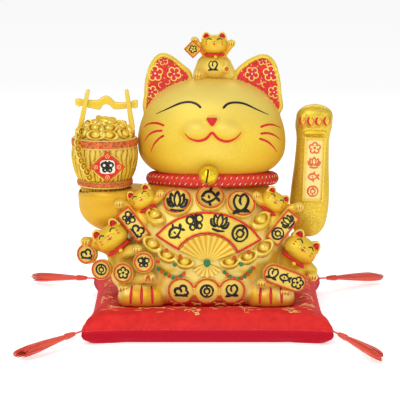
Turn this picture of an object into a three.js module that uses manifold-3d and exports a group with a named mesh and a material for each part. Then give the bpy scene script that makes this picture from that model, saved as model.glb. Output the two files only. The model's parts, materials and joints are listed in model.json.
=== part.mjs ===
// Beckoning cat figurine: a golden cast cat with a waving arm, seated on a tasselled cushion.
//
// Millimetres, +Z up, the cat faces -Y. The origin is the centre of the cushion's underside.
// Left and right are as seen from the front, so left is -X.
// The cat is two hollow castings, body and head, luted together at the neck, with smaller castings
// luted onto them. The arm on the right hangs on a steel pin and is kept moving by a magnet pendulum
// over a coil inside the body. The bucket only stands on the open palm on the left.

import * as THREE from "three";
import { mergeVertices } from "three/addons/utils/BufferGeometryUtils.js";
import Module from "manifold-3d";

const wasm = await Module();
wasm.setup();

// ---------------------------------------------------------------- driving dimensions

const GAP = 0.3; // clearance between pieces that touch
const DEG = Math.PI / 180;

const CUSHION = { half: 138, pinch: 9, seamZ: 18, topZ: 34, restHalf: 112 };
const TASSEL = { cordR: 1.1, cordLength: 50, cordShown: 14, neckR: 4.2, neckLength: 15, skirtR: 8, length: 95 };

const BASE_Z = CUSHION.topZ + GAP; // underside of the castings
const NECK_Z = 186; // joint between the body and head castings
const WALL = 6;
const NECK_HOLE_R = 28;
const PLUG_R = 18;

// Body casting: height, half width, half depth at the front.
const BODY_OUTLINE = [
  [BASE_Z, 88, 90],
  [50, 97, 95],
  [80, 103, 98],
  [100, 103, 96],
  [120, 101, 90],
  [140, 95, 81],
  [160, 83, 68],
  [170, 74, 59],
  [177, 66, 51],
  [NECK_Z, 64, 49],
];
const BODY_SQUARENESS = 2.5; // exponent of the superellipse that a level section follows
const BODY_BACK = 0.9; // depth behind the middle against depth in front of it

// Head casting, about its own upright axis: height, half width.
const HEAD_X = 5.5;
const HEAD_OUTLINE = [
  [NECK_Z + GAP, 62],
  [192, 76],
  [202, 86],
  [214, 91],
  [232, 91],
  [250, 87],
  [266, 80],
  [280, 70],
  [292, 54],
  [300, 35],
  [304, 15],
];
const HEAD_TOP_Z = 305;
const HEAD_DEPTH = 0.78; // half depth against half width
const HEAD_SQUARENESS = 2.2;

const COLLAR = { x: 6.4, z: 180.5, halfX: 74.6, halfY: 58.5, tilt: 3.4, r: 8.2 };
const BELL = { r: 11.2, wall: 1, out: 19.3, up: 10.5, slot: 2.2 };

const ARM = { x: 127, y: 0, z: 135, top: 136, bottom: -32, lean: 0.048, depth: 0.86, wall: 2.5 };
const PIN_R = 2.5;
const PENDULUM = { x: 58, length: 62, weight: [16, 30, 18], back: 2.6 }; // back: balances the arm's sign

const BUCKET = { x: -126.4, y: -25, z: 163, rim: 71, wall: 3 };

const POWER = { x: 0, y: 79, z: 76, width: 84, height: 46, switchX: 28 };
const BAY = { x: -12, width: 52, height: 30, depth: 30 };

// ---------------------------------------------------------------- materials

const paint = (color, roughness, metalness) => new THREE.MeshStandardMaterial({ color, roughness, metalness });
const GOLD = paint(0xe0b43c, 0.38, 0.6);
const PALE_GOLD = paint(0xf2d878, 0.45, 0.4);
const GLITTER_GOLD = paint(0xc99a1e, 0.45, 0.7);
const BRIGHT_GOLD = paint(0xd9a928, 0.25, 0.9);
const RED = paint(0xc8241e, 0.5, 0.0);
const GREEN = paint(0x1f7a3a, 0.4, 0.0);
const CUSHION_RED = paint(0xd0202a, 0.7, 0.0);
const TASSEL_RED = paint(0xd93a2c, 0.8, 0.0);
const STEEL = paint(0xb8b8bc, 0.3, 1.0);
const COPPER = paint(0xb87333, 0.35, 0.9);
const BLACK_PLASTIC = paint(0x222222, 0.5, 0.0);
const IVORY_PLASTIC = paint(0xe8e2d0, 0.5, 0.0);
const BOARD_GREEN = paint(0x1c5c34, 0.5, 0.0);
const RUBBER = paint(0x2a2a2a, 0.8, 0.0);

// ---------------------------------------------------------------- geometry helpers

// The geometry with only its positions, each shared vertex merged and no sliver between equal vertices.
function bareMesh(geometry) {
  const bare = geometry.clone();
  for (const name of Object.keys(bare.attributes)) {
    if (name !== "position") bare.deleteAttribute(name);
  }
  const merged = mergeVertices(bare, 1e-3);
  const kept = [];
  const index = merged.index.array;
  for (let i = 0; i < index.length; i += 3) {
    const [a, b, c] = [index[i], index[i + 1], index[i + 2]];
    if (a !== b && b !== c && c !== a) kept.push(a, b, c);
  }
  merged.setIndex(kept);
  return merged;
}

function toSolid(geometry) {
  const merged = bareMesh(geometry);
  const mesh = new wasm.Mesh({
    numProp: 3,
    vertProperties: new Float32Array(merged.attributes.position.array),
    triVerts: new Uint32Array(merged.index.array),
  });
  return new wasm.Manifold(mesh);
}

function toGeometry(solid) {
  const mesh = solid.getMesh();
  const geometry = new THREE.BufferGeometry();
  geometry.setAttribute("position", new THREE.BufferAttribute(new Float32Array(mesh.vertProperties), 3));
  geometry.setIndex(new THREE.BufferAttribute(new Uint32Array(mesh.triVerts), 1));
  return geometry;
}

function join(first, ...others) {
  return toGeometry(others.reduce((all, one) => all.add(toSolid(one)), toSolid(first)));
}

function cut(first, ...tools) {
  return toGeometry(tools.reduce((left, tool) => left.subtract(toSolid(tool)), toSolid(first)));
}

const overlap = (first, second) => toGeometry(toSolid(first).intersect(toSolid(second)));

// The largest piece of a solid that its cuts have parted.
function largest(geometry) {
  const pieces = toSolid(geometry).decompose();
  return toGeometry(pieces.reduce((best, one) => (one.volume() > best.volume() ? one : best)));
}

// The geometry with its faces moved outwards by `gap`, a corner by a little more.
function grown(geometry, gap) {
  const made = bareMesh(geometry);
  made.computeVertexNormals();
  const [position, normal] = [made.attributes.position, made.attributes.normal];
  const reach = gap * 2.6;
  for (let i = 0; i < position.count; i++) {
    position.setXYZ(
      i,
      position.getX(i) + normal.getX(i) * reach,
      position.getY(i) + normal.getY(i) * reach,
      position.getZ(i) + normal.getZ(i) * reach,
    );
  }
  return made;
}

// The geometry turned (degrees about X, then Y, then Z) and moved.
function placed(geometry, at, turn = [0, 0, 0]) {
  const rotation = new THREE.Matrix4().makeRotationFromEuler(
    new THREE.Euler(turn[0] * DEG, turn[1] * DEG, turn[2] * DEG, "ZYX"),
  );
  const matrix = new THREE.Matrix4().makeTranslation(...at).multiply(rotation);
  return geometry.clone().applyMatrix4(matrix);
}

// Moves every vertex to where `to` sends it.
function shaped(geometry, to) {
  const made = geometry.clone();
  const position = made.attributes.position;
  const point = new THREE.Vector3();
  for (let i = 0; i < position.count; i++) {
    point.fromBufferAttribute(position, i);
    to(point);
    position.setXYZ(i, point.x, point.y, point.z);
  }
  return made;
}

const box = (x, y, z) => new THREE.BoxGeometry(x, y, z);

// An ellipsoid with its poles on Z.
function egg(rx, ry, rz, around = 10, up = 6) {
  return new THREE.SphereGeometry(1, around, up).rotateX(Math.PI / 2).scale(rx, ry, rz);
}

// A cylinder along Z, standing on z = 0.
function rod(radius, length, sides = 20, topRadius = radius) {
  const cylinder = new THREE.CylinderGeometry(topRadius, radius, length, sides);
  return cylinder.rotateX(Math.PI / 2).translate(0, 0, length / 2);
}

function rodAlongX(radius, from, to, sides = 20) {
  return rod(radius, to - from, sides).rotateY(Math.PI / 2).translate(from, 0, 0);
}

// A round-ended bar from one point to another.
function limb(from, to, radius, sides = 6) {
  const start = new THREE.Vector3(...from);
  const way = new THREE.Vector3(...to).sub(start);
  const turn = new THREE.Quaternion().setFromUnitVectors(new THREE.Vector3(0, 1, 0), way.clone().normalize());
  return new THREE.CapsuleGeometry(radius, way.length(), 2, sides)
    .applyQuaternion(turn)
    .translate(...start.addScaledVector(way, 0.5).toArray());
}

// A turned shape about Z from [radius, height] pairs that start and end on the axis, going up.
function turned(outline, sides) {
  const points = outline.map(([radius, height]) => new THREE.Vector2(radius, height));
  return new THREE.LatheGeometry(points, sides).rotateX(Math.PI / 2);
}

// A plate outline in the XY plane, extruded along +Z.
function plate(shape, thickness, curveSegments = 12) {
  return new THREE.ExtrudeGeometry(shape, { depth: thickness, bevelEnabled: false, curveSegments });
}

function polygon(points) {
  return new THREE.Shape(points.map(([x, y]) => new THREE.Vector2(x, y)));
}

// A tube of the given radius through the points.
function tube(points, radius, steps, sides = 8) {
  const path = new THREE.CatmullRomCurve3(points.map((p) => new THREE.Vector3(...p)));
  const section = new THREE.Shape();
  for (let i = 0; i < sides; i++) {
    const angle = (i / sides) * 2 * Math.PI;
    const x = radius * Math.cos(angle);
    const y = radius * Math.sin(angle);
    if (i === 0) section.moveTo(x, y);
    else section.lineTo(x, y);
  }
  section.closePath();
  return new THREE.ExtrudeGeometry(section, { steps, extrudePath: path, curveSegments: 1 });
}

// Value of an outline's column at a height, by straight lines between its rows.
function along(outline, height, column) {
  const last = outline.length - 1;
  if (height <= outline[0][0]) return outline[0][column];
  if (height >= outline[last][0]) return outline[last][column];
  const i = outline.findIndex((row) => row[0] > height);
  const [low, high] = [outline[i - 1], outline[i]];
  const share = (height - low[0]) / (high[0] - low[0]);
  return low[column] + share * (high[column] - low[column]);
}

// Turns a round section into a superellipse section with these half axes.
function squared(point, radius, halfX, halfY, exponent) {
  const angle = Math.atan2(point.y, point.x);
  const power = 2 / exponent;
  const c = Math.cos(angle);
  const s = Math.sin(angle);
  point.x = Math.sign(c) * halfX * Math.abs(c) ** power * radius;
  point.y = Math.sign(s) * halfY * Math.abs(s) ** power * radius;
}

// ---------------------------------------------------------------- the two main castings

// The body's outer form, grown outwards by `grow`.
function bodyForm(grow = 0, sides = 28) {
  const rows = BODY_OUTLINE.map(([height, halfWidth]) => [halfWidth, height]);
  const bottom = rows[0][1] - grow;
  const top = rows[rows.length - 1][1] + grow;
  const last = rows[rows.length - 1];
  const outline = [[0, bottom], [rows[0][0] * 0.93, bottom], ...rows.slice(1, -1), [last[0], top], [0, top]];
  return shaped(turned(outline, sides), (p) => {
    const radius = Math.hypot(p.x, p.y);
    if (radius < 1e-6) return;
    const halfWidth = along(BODY_OUTLINE, p.z, 1);
    const halfDepth = along(BODY_OUTLINE, p.z, 2) * (p.y > 0 ? BODY_BACK : 1);
    squared(p, radius / halfWidth, halfWidth + grow, halfDepth + grow, BODY_SQUARENESS);
  });
}

// The y of the body's front face at x and z.
function bodyFront(x, z) {
  const share = Math.min(1, Math.abs(x) / along(BODY_OUTLINE, z, 1));
  return -along(BODY_OUTLINE, z, 2) * (1 - share ** BODY_SQUARENESS) ** (1 / BODY_SQUARENESS);
}

function headForm(grow = 0, sides = 20) {
  const rows = HEAD_OUTLINE.map(([height, halfWidth]) => [halfWidth + grow, height]);
  rows[0][1] -= grow;
  const outline = [[0, rows[0][1]], ...rows, [0, HEAD_TOP_Z + grow]];
  return shaped(turned(outline, sides), (p) => {
    const radius = Math.hypot(p.x, p.y);
    if (radius > 1e-6) squared(p, radius, 1, HEAD_DEPTH, HEAD_SQUARENESS);
    p.x += HEAD_X;
  });
}

// One ear, standing up from the head; `side` is -1 on the left and 1 on the right.
function ear(side) {
  const outline = new THREE.Shape();
  outline.moveTo(84 * side, 246);
  outline.quadraticCurveTo(87 * side, 292, 76 * side, 317);
  outline.quadraticCurveTo(68 * side, 334, 58 * side, 332);
  outline.quadraticCurveTo(42 * side, 328, 20 * side, 303);
  outline.lineTo(40 * side, 250);
  outline.closePath();
  const thick = 20;
  return plate(outline, thick, 6).rotateX(Math.PI / 2).translate(HEAD_X, thick / 2 + 3, 0);
}

// The collar's own ring, or a thicker one to clear it.
function collarRing(radius, sides = 6, around = 28) {
  const ring = new THREE.TorusGeometry(10, 1, sides, around);
  return shaped(ring, (p) => {
    const angle = Math.atan2(p.y, p.x);
    const out = (Math.hypot(p.x, p.y) - 10) * radius;
    const up = p.z * radius;
    const normal = new THREE.Vector2(Math.cos(angle) / COLLAR.halfX, Math.sin(angle) / COLLAR.halfY);
    normal.normalize();
    p.x = COLLAR.x + COLLAR.halfX * Math.cos(angle) + normal.x * out;
    p.y = COLLAR.halfY * Math.sin(angle) + normal.y * out;
    p.z = COLLAR.z + up - COLLAR.tilt * Math.sin(angle);
  });
}

const collarRoom = collarRing(COLLAR.r + GAP);

// One of the cat's own front paws.
function frontPaw(x) {
  const paw = placed(egg(29, 34, 27, 12, 8), [x, -64, 44]);
  return overlap(paw, placed(box(80, 120, 60), [x, -64, BASE_Z + 30]));
}

function bodyShell() {
  const solid = join(bodyForm(), frontPaw(-80), frontPaw(77));
  const inside = bodyForm(-WALL, 16);
  const neckHole = placed(rod(NECK_HOLE_R, 40, 24), [0, 0, NECK_Z - 20]);
  const plugHole = placed(rod(PLUG_R, 20, 24), [0, 0, BASE_Z - 5]);
  const pinHole = rodAlongX(9, 60, 120, 16).translate(0, ARM.y, ARM.z);
  const armPocket = placed(egg(30, 34, 42, 12, 8), [ARM.x, ARM.y, ARM.z]);
  const recessSize = box(POWER.width + 2 * GAP, 20, POWER.height + 2 * GAP);
  const recess = placed(recessSize, [POWER.x, POWER.y + 10, POWER.z]);
  const tunnelSize = box(BAY.width + 8, 60, BAY.height + 8);
  const tunnel = placed(tunnelSize, [POWER.x + BAY.x, POWER.y, POWER.z]);
  const switchHole = placed(box(8, 40, 18), [POWER.x + POWER.switchX, POWER.y, POWER.z]);
  return cut(solid, inside, neckHole, plugHole, pinHole, armPocket, recess, tunnel, switchHole, collarRoom);
}

function headShell() {
  const solid = join(headForm(), ear(-1), ear(1));
  const inside = shaped(egg(82, 62, 52, 16, 8), (p) => {
    p.x += HEAD_X;
    p.z += 243;
  });
  const neckHole = placed(rod(NECK_HOLE_R, 40, 24), [0, 0, NECK_Z - 10]);
  return cut(solid, inside, neckHole, collarRoom);
}

const bodyRoom = join(bodyForm(GAP * 1.3), grown(frontPaw(-80), GAP), grown(frontPaw(77), GAP));
const headRoom = grown(join(headForm(), ear(-1), ear(1)), GAP);

// ---------------------------------------------------------------- scene helpers

const figurine = new THREE.Group();
const rooms = [];

function add(group, name, geometry, material, at = [0, 0, 0], turn = [0, 0, 0]) {
  const mesh = new THREE.Mesh(geometry, material);
  mesh.name = name;
  mesh.position.set(...at);
  mesh.rotation.set(turn[0] * DEG, turn[1] * DEG, turn[2] * DEG, "ZYX");
  group.add(mesh);
  return mesh;
}

// A casting luted onto what is already there: it gives way to the castings behind and before it.
function addRelief(name, geometry, material) {
  add(figurine, name, largest(cut(geometry, ...rooms)), material);
  rooms.push(join(grown(geometry, GAP), geometry));
}

// ---------------------------------------------------------------- cushion and tassels

// A knife-edged pillow: level rings between the flat underside and the flat top, corners drawn out.
function cushion() {
  const rings = [
    [CUSHION.restHalf, 0],
    [CUSHION.half - 10, 6],
    [CUSHION.half, CUSHION.seamZ],
    [CUSHION.half - 9, 27],
    [CUSHION.restHalf, CUSHION.topZ],
  ];
  const outline = [[0, 0], ...rings, [0, CUSHION.topZ]];
  return shaped(turned(outline, 32), (p) => {
    const radius = Math.hypot(p.x, p.y);
    if (radius < 1e-6) return;
    const angle = Math.atan2(p.y, p.x);
    const edge = Math.max(Math.abs(Math.cos(angle)), Math.abs(Math.sin(angle)));
    const cornerness = (1 / edge - 1) / (Math.SQRT2 - 1);
    const level = Math.max(0, 1 - Math.abs(p.z - CUSHION.seamZ) / CUSHION.seamZ);
    const drawnOut = CUSHION.pinch * cornerness ** 6 * level;
    const drawnIn = CUSHION.pinch * 0.5 * (1 - cornerness) ** 2 * level;
    const reach = radius / edge + drawnOut - drawnIn;
    p.x = Math.cos(angle) * reach;
    p.y = Math.sin(angle) * reach;
  });
}

// A tassel along +X from its neck: a wrapped neck with a blind bore for the cord, then the skirt.
function tassel() {
  const { cordR, cordLength, cordShown, neckR, neckLength, skirtR, length } = TASSEL;
  const bore = cordR + GAP;
  const boreEnd = cordLength - cordShown + 1;
  const outline = [
    [0, boreEnd],
    [bore, boreEnd],
    [bore, 0],
    [neckR * 0.7, 0],
    [neckR, neckLength * 0.3],
    [neckR * 0.75, neckLength],
    [skirtR * 0.62, neckLength + 12],
    [skirtR, length * 0.7],
    [skirtR * 0.9, length],
    [0, length],
  ];
  return turned(outline, 8).rotateY(Math.PI / 2);
}

// Each corner's tassel lies along its heading, degrees from +X, and slopes down to the surface.
const TASSELS = [
  { name: "front_left", side: -1, end: -1, heading: 227.4 },
  { name: "front_right", side: 1, end: -1, heading: 300.5 },
  { name: "back_left", side: -1, end: 1, heading: 149 },
  { name: "back_right", side: 1, end: 1, heading: 32 },
];

function addTassel({ name, side, end, heading }) {
  const { cordR, cordLength, cordShown, skirtR, length } = TASSEL;
  const tip = CUSHION.half + CUSHION.pinch + 1.5;
  const start = new THREE.Vector3(side * tip, end * tip, CUSHION.seamZ);
  const drop = Math.asin((CUSHION.seamZ - skirtR - 1) / (cordShown + length)) / DEG;
  const level = Math.cos(drop * DEG);
  const across = [Math.cos(heading * DEG), Math.sin(heading * DEG)];
  const way = new THREE.Vector3(level * across[0], level * across[1], -Math.sin(drop * DEG));
  const shares = [0, 0.25, 0.5, 0.75, 1];
  const points = shares.map((t) => start.clone().addScaledVector(way, t * cordLength).toArray());
  add(figurine, "tassel_cord_" + name, tube(points, cordR, 10), TASSEL_RED);
  const neck = start.clone().addScaledVector(way, cordShown);
  add(figurine, "tassel_" + name, tassel(), TASSEL_RED, neck.toArray(), [0, drop, heading]);
}

// ---------------------------------------------------------------- relief castings

// A coin with a raised rim, its face towards -Y.
function coin(radius, thickness, sides = 16) {
  const rim = radius * 0.09;
  const outline = [
    [0, -thickness],
    [radius, -thickness],
    [radius, 1],
    [radius - rim, 1],
    [radius - rim * 1.6, 0],
    [0, 0],
  ];
  return turned(outline, sides).rotateX(Math.PI / 2);
}

// A rectangular or round-ended sign, its face towards -Y and its middle at the origin.
function sign(width, height, round, thickness) {
  const [x, y] = [width / 2 - round, height / 2 - round];
  const shape = new THREE.Shape();
  shape.absarc(x, -y, round, -Math.PI / 2, 0);
  shape.absarc(x, y, round, 0, Math.PI / 2);
  shape.absarc(-x, y, round, Math.PI / 2, Math.PI);
  shape.absarc(-x, -y, round, Math.PI, 1.5 * Math.PI);
  return plate(shape, thickness, 3).rotateX(Math.PI / 2).translate(0, thickness / 2, 0);
}

// A boat-shaped gold ingot with its dome.
function ingot(size) {
  const hull = egg(size, size * 0.62, size * 0.5, 8, 3);
  const dome = placed(egg(size * 0.45, size * 0.45, size * 0.45, 6, 3), [0, -size * 0.12, size * 0.32]);
  return join(hull, dome);
}

// A small cat's head with ears, its centre at the origin, facing -Y.
function smallHead(r) {
  const cone = rod(r * 0.36, r * 0.62, 5, r * 0.08);
  const ears = [-1, 1].map((side) => placed(cone, [side * r * 0.6, 0, r * 0.45], [0, side * 18, 0]));
  return join(egg(r, r * 0.8, r * 0.84, 10, 6), ...ears);
}

// The body's face leans back as it rises: its lean in degrees at a place.
function leanAt(x, z) {
  const step = 6;
  return Math.atan2(bodyFront(x, z - step) - bodyFront(x, z + step), 2 * step) / DEG;
}

// How far the body's face turns to the side at a place, in degrees.
function swingAt(x, z) {
  const step = 4;
  return Math.atan2(bodyFront(x + step, z) - bodyFront(x - step, z), 2 * step) / DEG;
}

// A flat-backed piece bedded on the body's front, its face `proud` of the body.
function bedded(geometry, x, z, proud, roll = 0) {
  const rolled = placed(geometry, [0, 0, 0], [0, roll, 0]);
  return placed(rolled, [x, bodyFront(x, z) - proud, z], [leanAt(x, z), 0, swingAt(x, z)]);
}

function addLargeCoins() {
  const radius = 17.8;
  const places = { left: [-36.7, 161], centre: [3.4, 165.9], right: [41, 158] };
  for (const [name, [x, z]] of Object.entries(places)) {
    addRelief("coin_large_" + name, bedded(coin(radius, 12), x, z, 6), GOLD);
  }
}

function addSmallCoins() {
  const radius = 12;
  const places = [
    [-148.5, -52, 92.4, -28],
    [-129.8, -66, 75.8, -22],
    [-102.4, -82, 75.6, -14],
    [-77.1, -93, 90.5, -10],
  ];
  places.forEach(([x, y, z, swing], i) => {
    addRelief("coin_small_" + (i + 1), placed(coin(radius, 8, 12), [x, y, z], [-8, 0, swing]), GOLD);
  });
}

function addPlaques() {
  const left = placed(sign(44, 18, 3, 8), [0, 0, 0], [0, 51, 0]);
  const right = placed(sign(45, 19, 3, 8), [0, 0, 0], [0, -50, 0]);
  addRelief("plaque_left", placed(left, [-90.8, -64, 132], [0, 0, -34]), PALE_GOLD);
  addRelief("plaque_right", placed(right, [92.5, -65, 127.4], [0, 0, 34]), PALE_GOLD);
}

// The fan lies on the body's front: a leaf between two arcs, its sticks, and the guards below the rivet.
const FAN = { x: -0.5, z: 90.5, inner: 38, outer: 68, squash: 0.88, hub: 6, tail: 21, rivetR: 4.3 };

function fanSector(inner, outer, from, to, steps) {
  const arc = (radius, start, end) =>
    Array.from({ length: steps + 1 }, (_, i) => {
      const angle = (start + ((end - start) * i) / steps) * DEG;
      return [radius * Math.cos(angle), radius * Math.sin(angle) * FAN.squash];
    });
  return polygon([...arc(outer, from, to), ...arc(inner, to, from)]);
}

// Lays a plate drawn in XY onto the body's front, its outer face `proud` of it.
function draped(shape, thickness, proud) {
  return shaped(plate(shape, thickness), (p) => {
    const [x, z, in_] = [p.x + FAN.x, p.y + FAN.z, p.z];
    p.set(x, bodyFront(x, z) - proud + in_, z);
  });
}

// Turns a geometry whose faces point inwards right side out.
function flipped(geometry) {
  const made = mergeVertices(geometry.clone().deleteAttribute("normal").deleteAttribute("uv"), 1e-3);
  const index = made.index.array;
  for (let i = 0; i < index.length; i += 3) [index[i], index[i + 1]] = [index[i + 1], index[i]];
  return made;
}

function addFan() {
  const bead = egg(FAN.rivetR, FAN.rivetR, FAN.rivetR, 10, 6);
  const rivet = placed(bead, [FAN.x, bodyFront(FAN.x, FAN.z) - 5, FAN.z]);
  addRelief("fan_rivet", rivet, GREEN);
  const sticks = flipped(draped(fanSector(FAN.hub, FAN.inner - 1, 18, 156, 12), 10, 3.5));
  const guards = flipped(draped(fanSector(FAN.hub, FAN.tail, 205, 335, 8), 10, 3.5));
  const hub = flipped(draped(fanSector(2, FAN.hub + 2, 0, 350, 8), 10, 3.5));
  addRelief("fan_leaf", flipped(draped(fanSector(FAN.inner, FAN.outer, 20, 154, 16), 10, 5)), GOLD);
  addRelief("fan_sticks", join(sticks, guards, hub), GOLD);
}

// A little cat seen from the waist up, its arms round the signs; every place is [x, y, z].
function littleCat({ head, r, roll, torso, girth, limbs, held }) {
  const parts = [placed(smallHead(r), head, [-8, roll, 0])];
  if (held) parts.push(bedded(ingot(held.size), held.x, held.z, 4, held.roll));
  parts.push(limb(torso[0], torso[1], girth, 8));
  for (const [from, to, radius] of limbs) parts.push(limb(from, to, radius, 6));
  return join(...parts);
}

const LITTLE_CATS = {
  cat_upper_left: {
    head: [-81, -50, 160.5],
    r: 15.5,
    roll: -22,
    torso: [[-84, -46, 150], [-82, -54, 138]],
    girth: 13,
    limbs: [[[-88, -46, 147], [-106, -43, 154], 6], [[-74, -50, 150], [-58.5, -58, 168.5], 6]],
    held: { x: -64, z: 141.7, size: 13, roll: 30 },
  },
  cat_upper_right: {
    head: [84, -50, 156.5],
    r: 15.5,
    roll: 30,
    torso: [[87, -46, 146], [84, -54, 134]],
    girth: 13,
    limbs: [[[92, -46, 143], [113, -40, 149], 6], [[76, -50, 147], [60.5, -59, 166.5], 6]],
    held: { x: 65.4, z: 135.8, size: 12.5, roll: -30 },
  },
  cat_lower_left: {
    head: [-119, -56, 114],
    r: 19.5,
    roll: -28,
    torso: [[-108, -52, 94], [-98, -60, 62]],
    girth: 22,
    limbs: [
      [[-120, -48, 92], [-150, -42, 107], 7],
      [[-104, -62, 92], [-85, -80, 104.5], 7],
      [[-96, -70, 68], [-69, -88, 73], 8],
      [[-100, -62, 56], [-107, -66, 46], 9],
    ],
  },
  cat_lower_right: {
    head: [115.7, -56, 99.5],
    r: 20,
    roll: 33,
    torso: [[108, -50, 82], [106, -54, 58]],
    girth: 22,
    limbs: [
      [[112, -52, 86], [128, -46, 80], 8],
      [[100, -68, 62], [66, -88, 62], 8],
      [[104, -62, 52], [98.4, -70, 45], 9],
    ],
  },
};

function addLittleCats() {
  for (const [name, cat] of Object.entries(LITTLE_CATS)) addRelief(name, littleCat(cat), PALE_GOLD);
}

function addIngots() {
  const row = (places) => join(...places.map(([x, z, roll]) => bedded(ingot(13), x, z, 3, roll)));
  addRelief("ingots_left", row([[-66.3, 107.8, 30], [-49.3, 98.9, 20], [-27.5, 91.6, 8]]), BRIGHT_GOLD);
  addRelief("ingots_right", row([[67, 104.3, -30], [48.8, 97.7, -20], [26, 91.6, -8]]), BRIGHT_GOLD);
}

function addLowerSigns() {
  const lobes = [-31.7, -0.2, 28.3].map((x) => placed(coin(15, 10, 14), [x, bodyFront(x, 54.6) - 4, 54.6]));
  const bar = placed(box(60, 9, 18), [-1.7, bodyFront(0, 54.6) - 0.5, 54.6]);
  addRelief("triple_coin_plaque", join(bar, ...lobes), PALE_GOLD);
  const oval = placed(sign(56, 25, 12.2, 7), [0, 0, 0], [0, 22, 0]);
  addRelief("oval_plaque", placed(oval, [95, -84, 69.5], [0, 0, 22]), PALE_GOLD);
}

// A string of beads lying on the front, between three points [x, z].
function addBeads(name, places) {
  const points = places.map(([x, z]) => [x, bodyFront(x, z) - 2.6, z]);
  addRelief(name, tube(points, 2, 10, 6), RED);
}

// ---------------------------------------------------------------- arm and palm that hold the bucket

const PALM_Z = BUCKET.z - GAP;

function palmArm() {
  const whole = placed(egg(50, 38, 35, 18, 9), [-112, -20, 150]);
  const above = placed(box(120, 120, 60), [-112, -20, PALM_Z + 30]);
  return cut(whole, above);
}

// ---------------------------------------------------------------- cat on the crown of the head

function addCrownCat() {
  const cat = join(
    placed(egg(25, 17, 9, 12, 6), [7.5, 0, 309]),
    placed(egg(15, 13, 20, 10, 6), [9, -1, 323]),
    placed(smallHead(14), [9, -4, 347.5]),
    limb([0, -4, 330], [-15.5, -8, 351], 4.5),
    limb([18, -4, 328], [29.5, -6, 346], 4.5),
  );
  const board = placed(placed(sign(22, 22, 1.5, 4), [0, 0, 0], [0, 45, 0]), [-17.6, -12, 340.6]);
  rooms.push(headRoom);
  addRelief("crown_cat", join(cat, board), GOLD);
}

// ---------------------------------------------------------------- collar and bell

function addCollar() {
  add(figurine, "collar_rope", collarRing(COLLAR.r), RED);
  const rope = [COLLAR.x - 5, -COLLAR.halfY, COLLAR.z + COLLAR.tilt];
  const centre = [rope[0], rope[1] - BELL.out, rope[2] + BELL.up];
  const ball = egg(BELL.r, BELL.r, BELL.r, 14, 8);
  const hollow = egg(BELL.r - BELL.wall, BELL.r - BELL.wall, BELL.r - BELL.wall, 10, 6);
  const slot = placed(box(BELL.slot, BELL.r * 2, BELL.r * 1.2), [0, -BELL.r * 0.2, -BELL.r * 0.75]);
  const loop = placed(box(3, 4, 3), [0, BELL.r + 0.4, -4.2]);
  const shell = join(cut(ball, hollow, slot), cut(loop, ball));
  add(figurine, "bell_shell", shell, BRIGHT_GOLD, centre);
  const pelletR = 3;
  const pelletDown = BELL.r - BELL.wall - pelletR - 0.5;
  const pellet = egg(pelletR, pelletR, pelletR, 8, 5);
  add(figurine, "bell_pellet", pellet, STEEL, [centre[0], centre[1], centre[2] - pelletDown]);
}

// ---------------------------------------------------------------- bucket

function addBucket() {
  const bucket = new THREE.Group();
  bucket.position.set(BUCKET.x, BUCKET.y, BUCKET.z);
  figurine.add(bucket);

  const { wall, rim } = BUCKET;
  const outside = [
    [28.5, 0],
    [31.5, 10],
    [35.5, 11],
    [35, 18],
    [33, 19],
    [37, 32],
    [41, 46],
    [40.5, 55],
    [38.5, 60],
    [40, 61],
    [40, rim - 1],
    [38, rim],
  ];
  const inside = [
    [38 - wall, rim],
    [40 - wall, 46],
    [32 - wall, 15],
    [0, 12],
  ];
  add(bucket, "bucket_tub", turned([[0, 0], ...outside, ...inside], 20), GOLD);

  // Each upright stands inside the rim, leans out and then in: its middle at foot, bend and top.
  const uprightLines = [
    [[-29.6, 65], [-30, 82], [-19.9, 129]],
    [[27.6, 65], [34, 82], [27.3, 129]],
  ];
  const uprights = uprightLines.map(([foot, bend, top]) => {
    const side = (half, [x, z]) => [x + half, z];
    const post = [
      side(-3.3, foot),
      side(3.3, foot),
      side(3.3, bend),
      side(2.3, top),
      side(-2.3, top),
      side(-3.3, bend),
    ];
    return placed(plate(polygon(post), 9), [0, 3, 0], [90, 0, 0]);
  });
  add(bucket, "bucket_upright_left", uprights[0], PALE_GOLD);
  add(bucket, "bucket_upright_right", uprights[1], PALE_GOLD);
  const uprightRooms = uprights.map((post) => join(grown(post, GAP * 1.5), post));

  const yoke = new THREE.Shape();
  yoke.moveTo(-35, 114);
  yoke.quadraticCurveTo(-18, 111, -6, 113);
  yoke.quadraticCurveTo(3, 119, 12, 113);
  yoke.quadraticCurveTo(24, 110, 41, 110);
  yoke.lineTo(41, 118.5);
  yoke.quadraticCurveTo(26, 118, 15, 121);
  yoke.quadraticCurveTo(3, 130, -9, 121);
  yoke.quadraticCurveTo(-20, 119, -35, 122.5);
  yoke.closePath();
  const bar = placed(plate(yoke, 10, 6), [0, 8, 0], [90, 0, 0]);
  add(bucket, "bucket_yoke", largest(cut(bar, ...uprightRooms)), PALE_GOLD);

  const lumps = [
    [-16, -8, 77],
    [15, -12, 77],
    [0, -4, 86],
    [0, 17, 78],
    [0, -22, 73],
  ];
  const heap = join(
    placed(egg(34.2, 34.2, 13, 14, 6), [0, 0, rim - 4]),
    ...lumps.map(([x, y, z], i) => placed(ingot(11), [x, y, z], [0, 0, i * 50])),
  );
  add(bucket, "bucket_treasure", largest(cut(heap, ...uprightRooms)), BRIGHT_GOLD);

  const half = 15;
  const charm = placed(box(half * 2, 3, half * 2), [0, 0, 0], [0, 45, 0]).scale(44 / 42.4, 1, 39 / 42.4);
  add(bucket, "bucket_charm", charm, RED, [4, -43.5, 40]);

  const chain = tube([[-30, -26, 78], [-31, -31, 68], [-27, -35.5, 46], [-17, -37.5, 26]], 3, 9, 6);
  const tubRoom = grown(turned([[0, 0], ...outside, [0, rim]], 20), GAP);
  add(bucket, "coin_chain", largest(cut(chain, tubRoom)), BRIGHT_GOLD);
}

// ---------------------------------------------------------------- waving arm, its pin and pendulum

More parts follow.
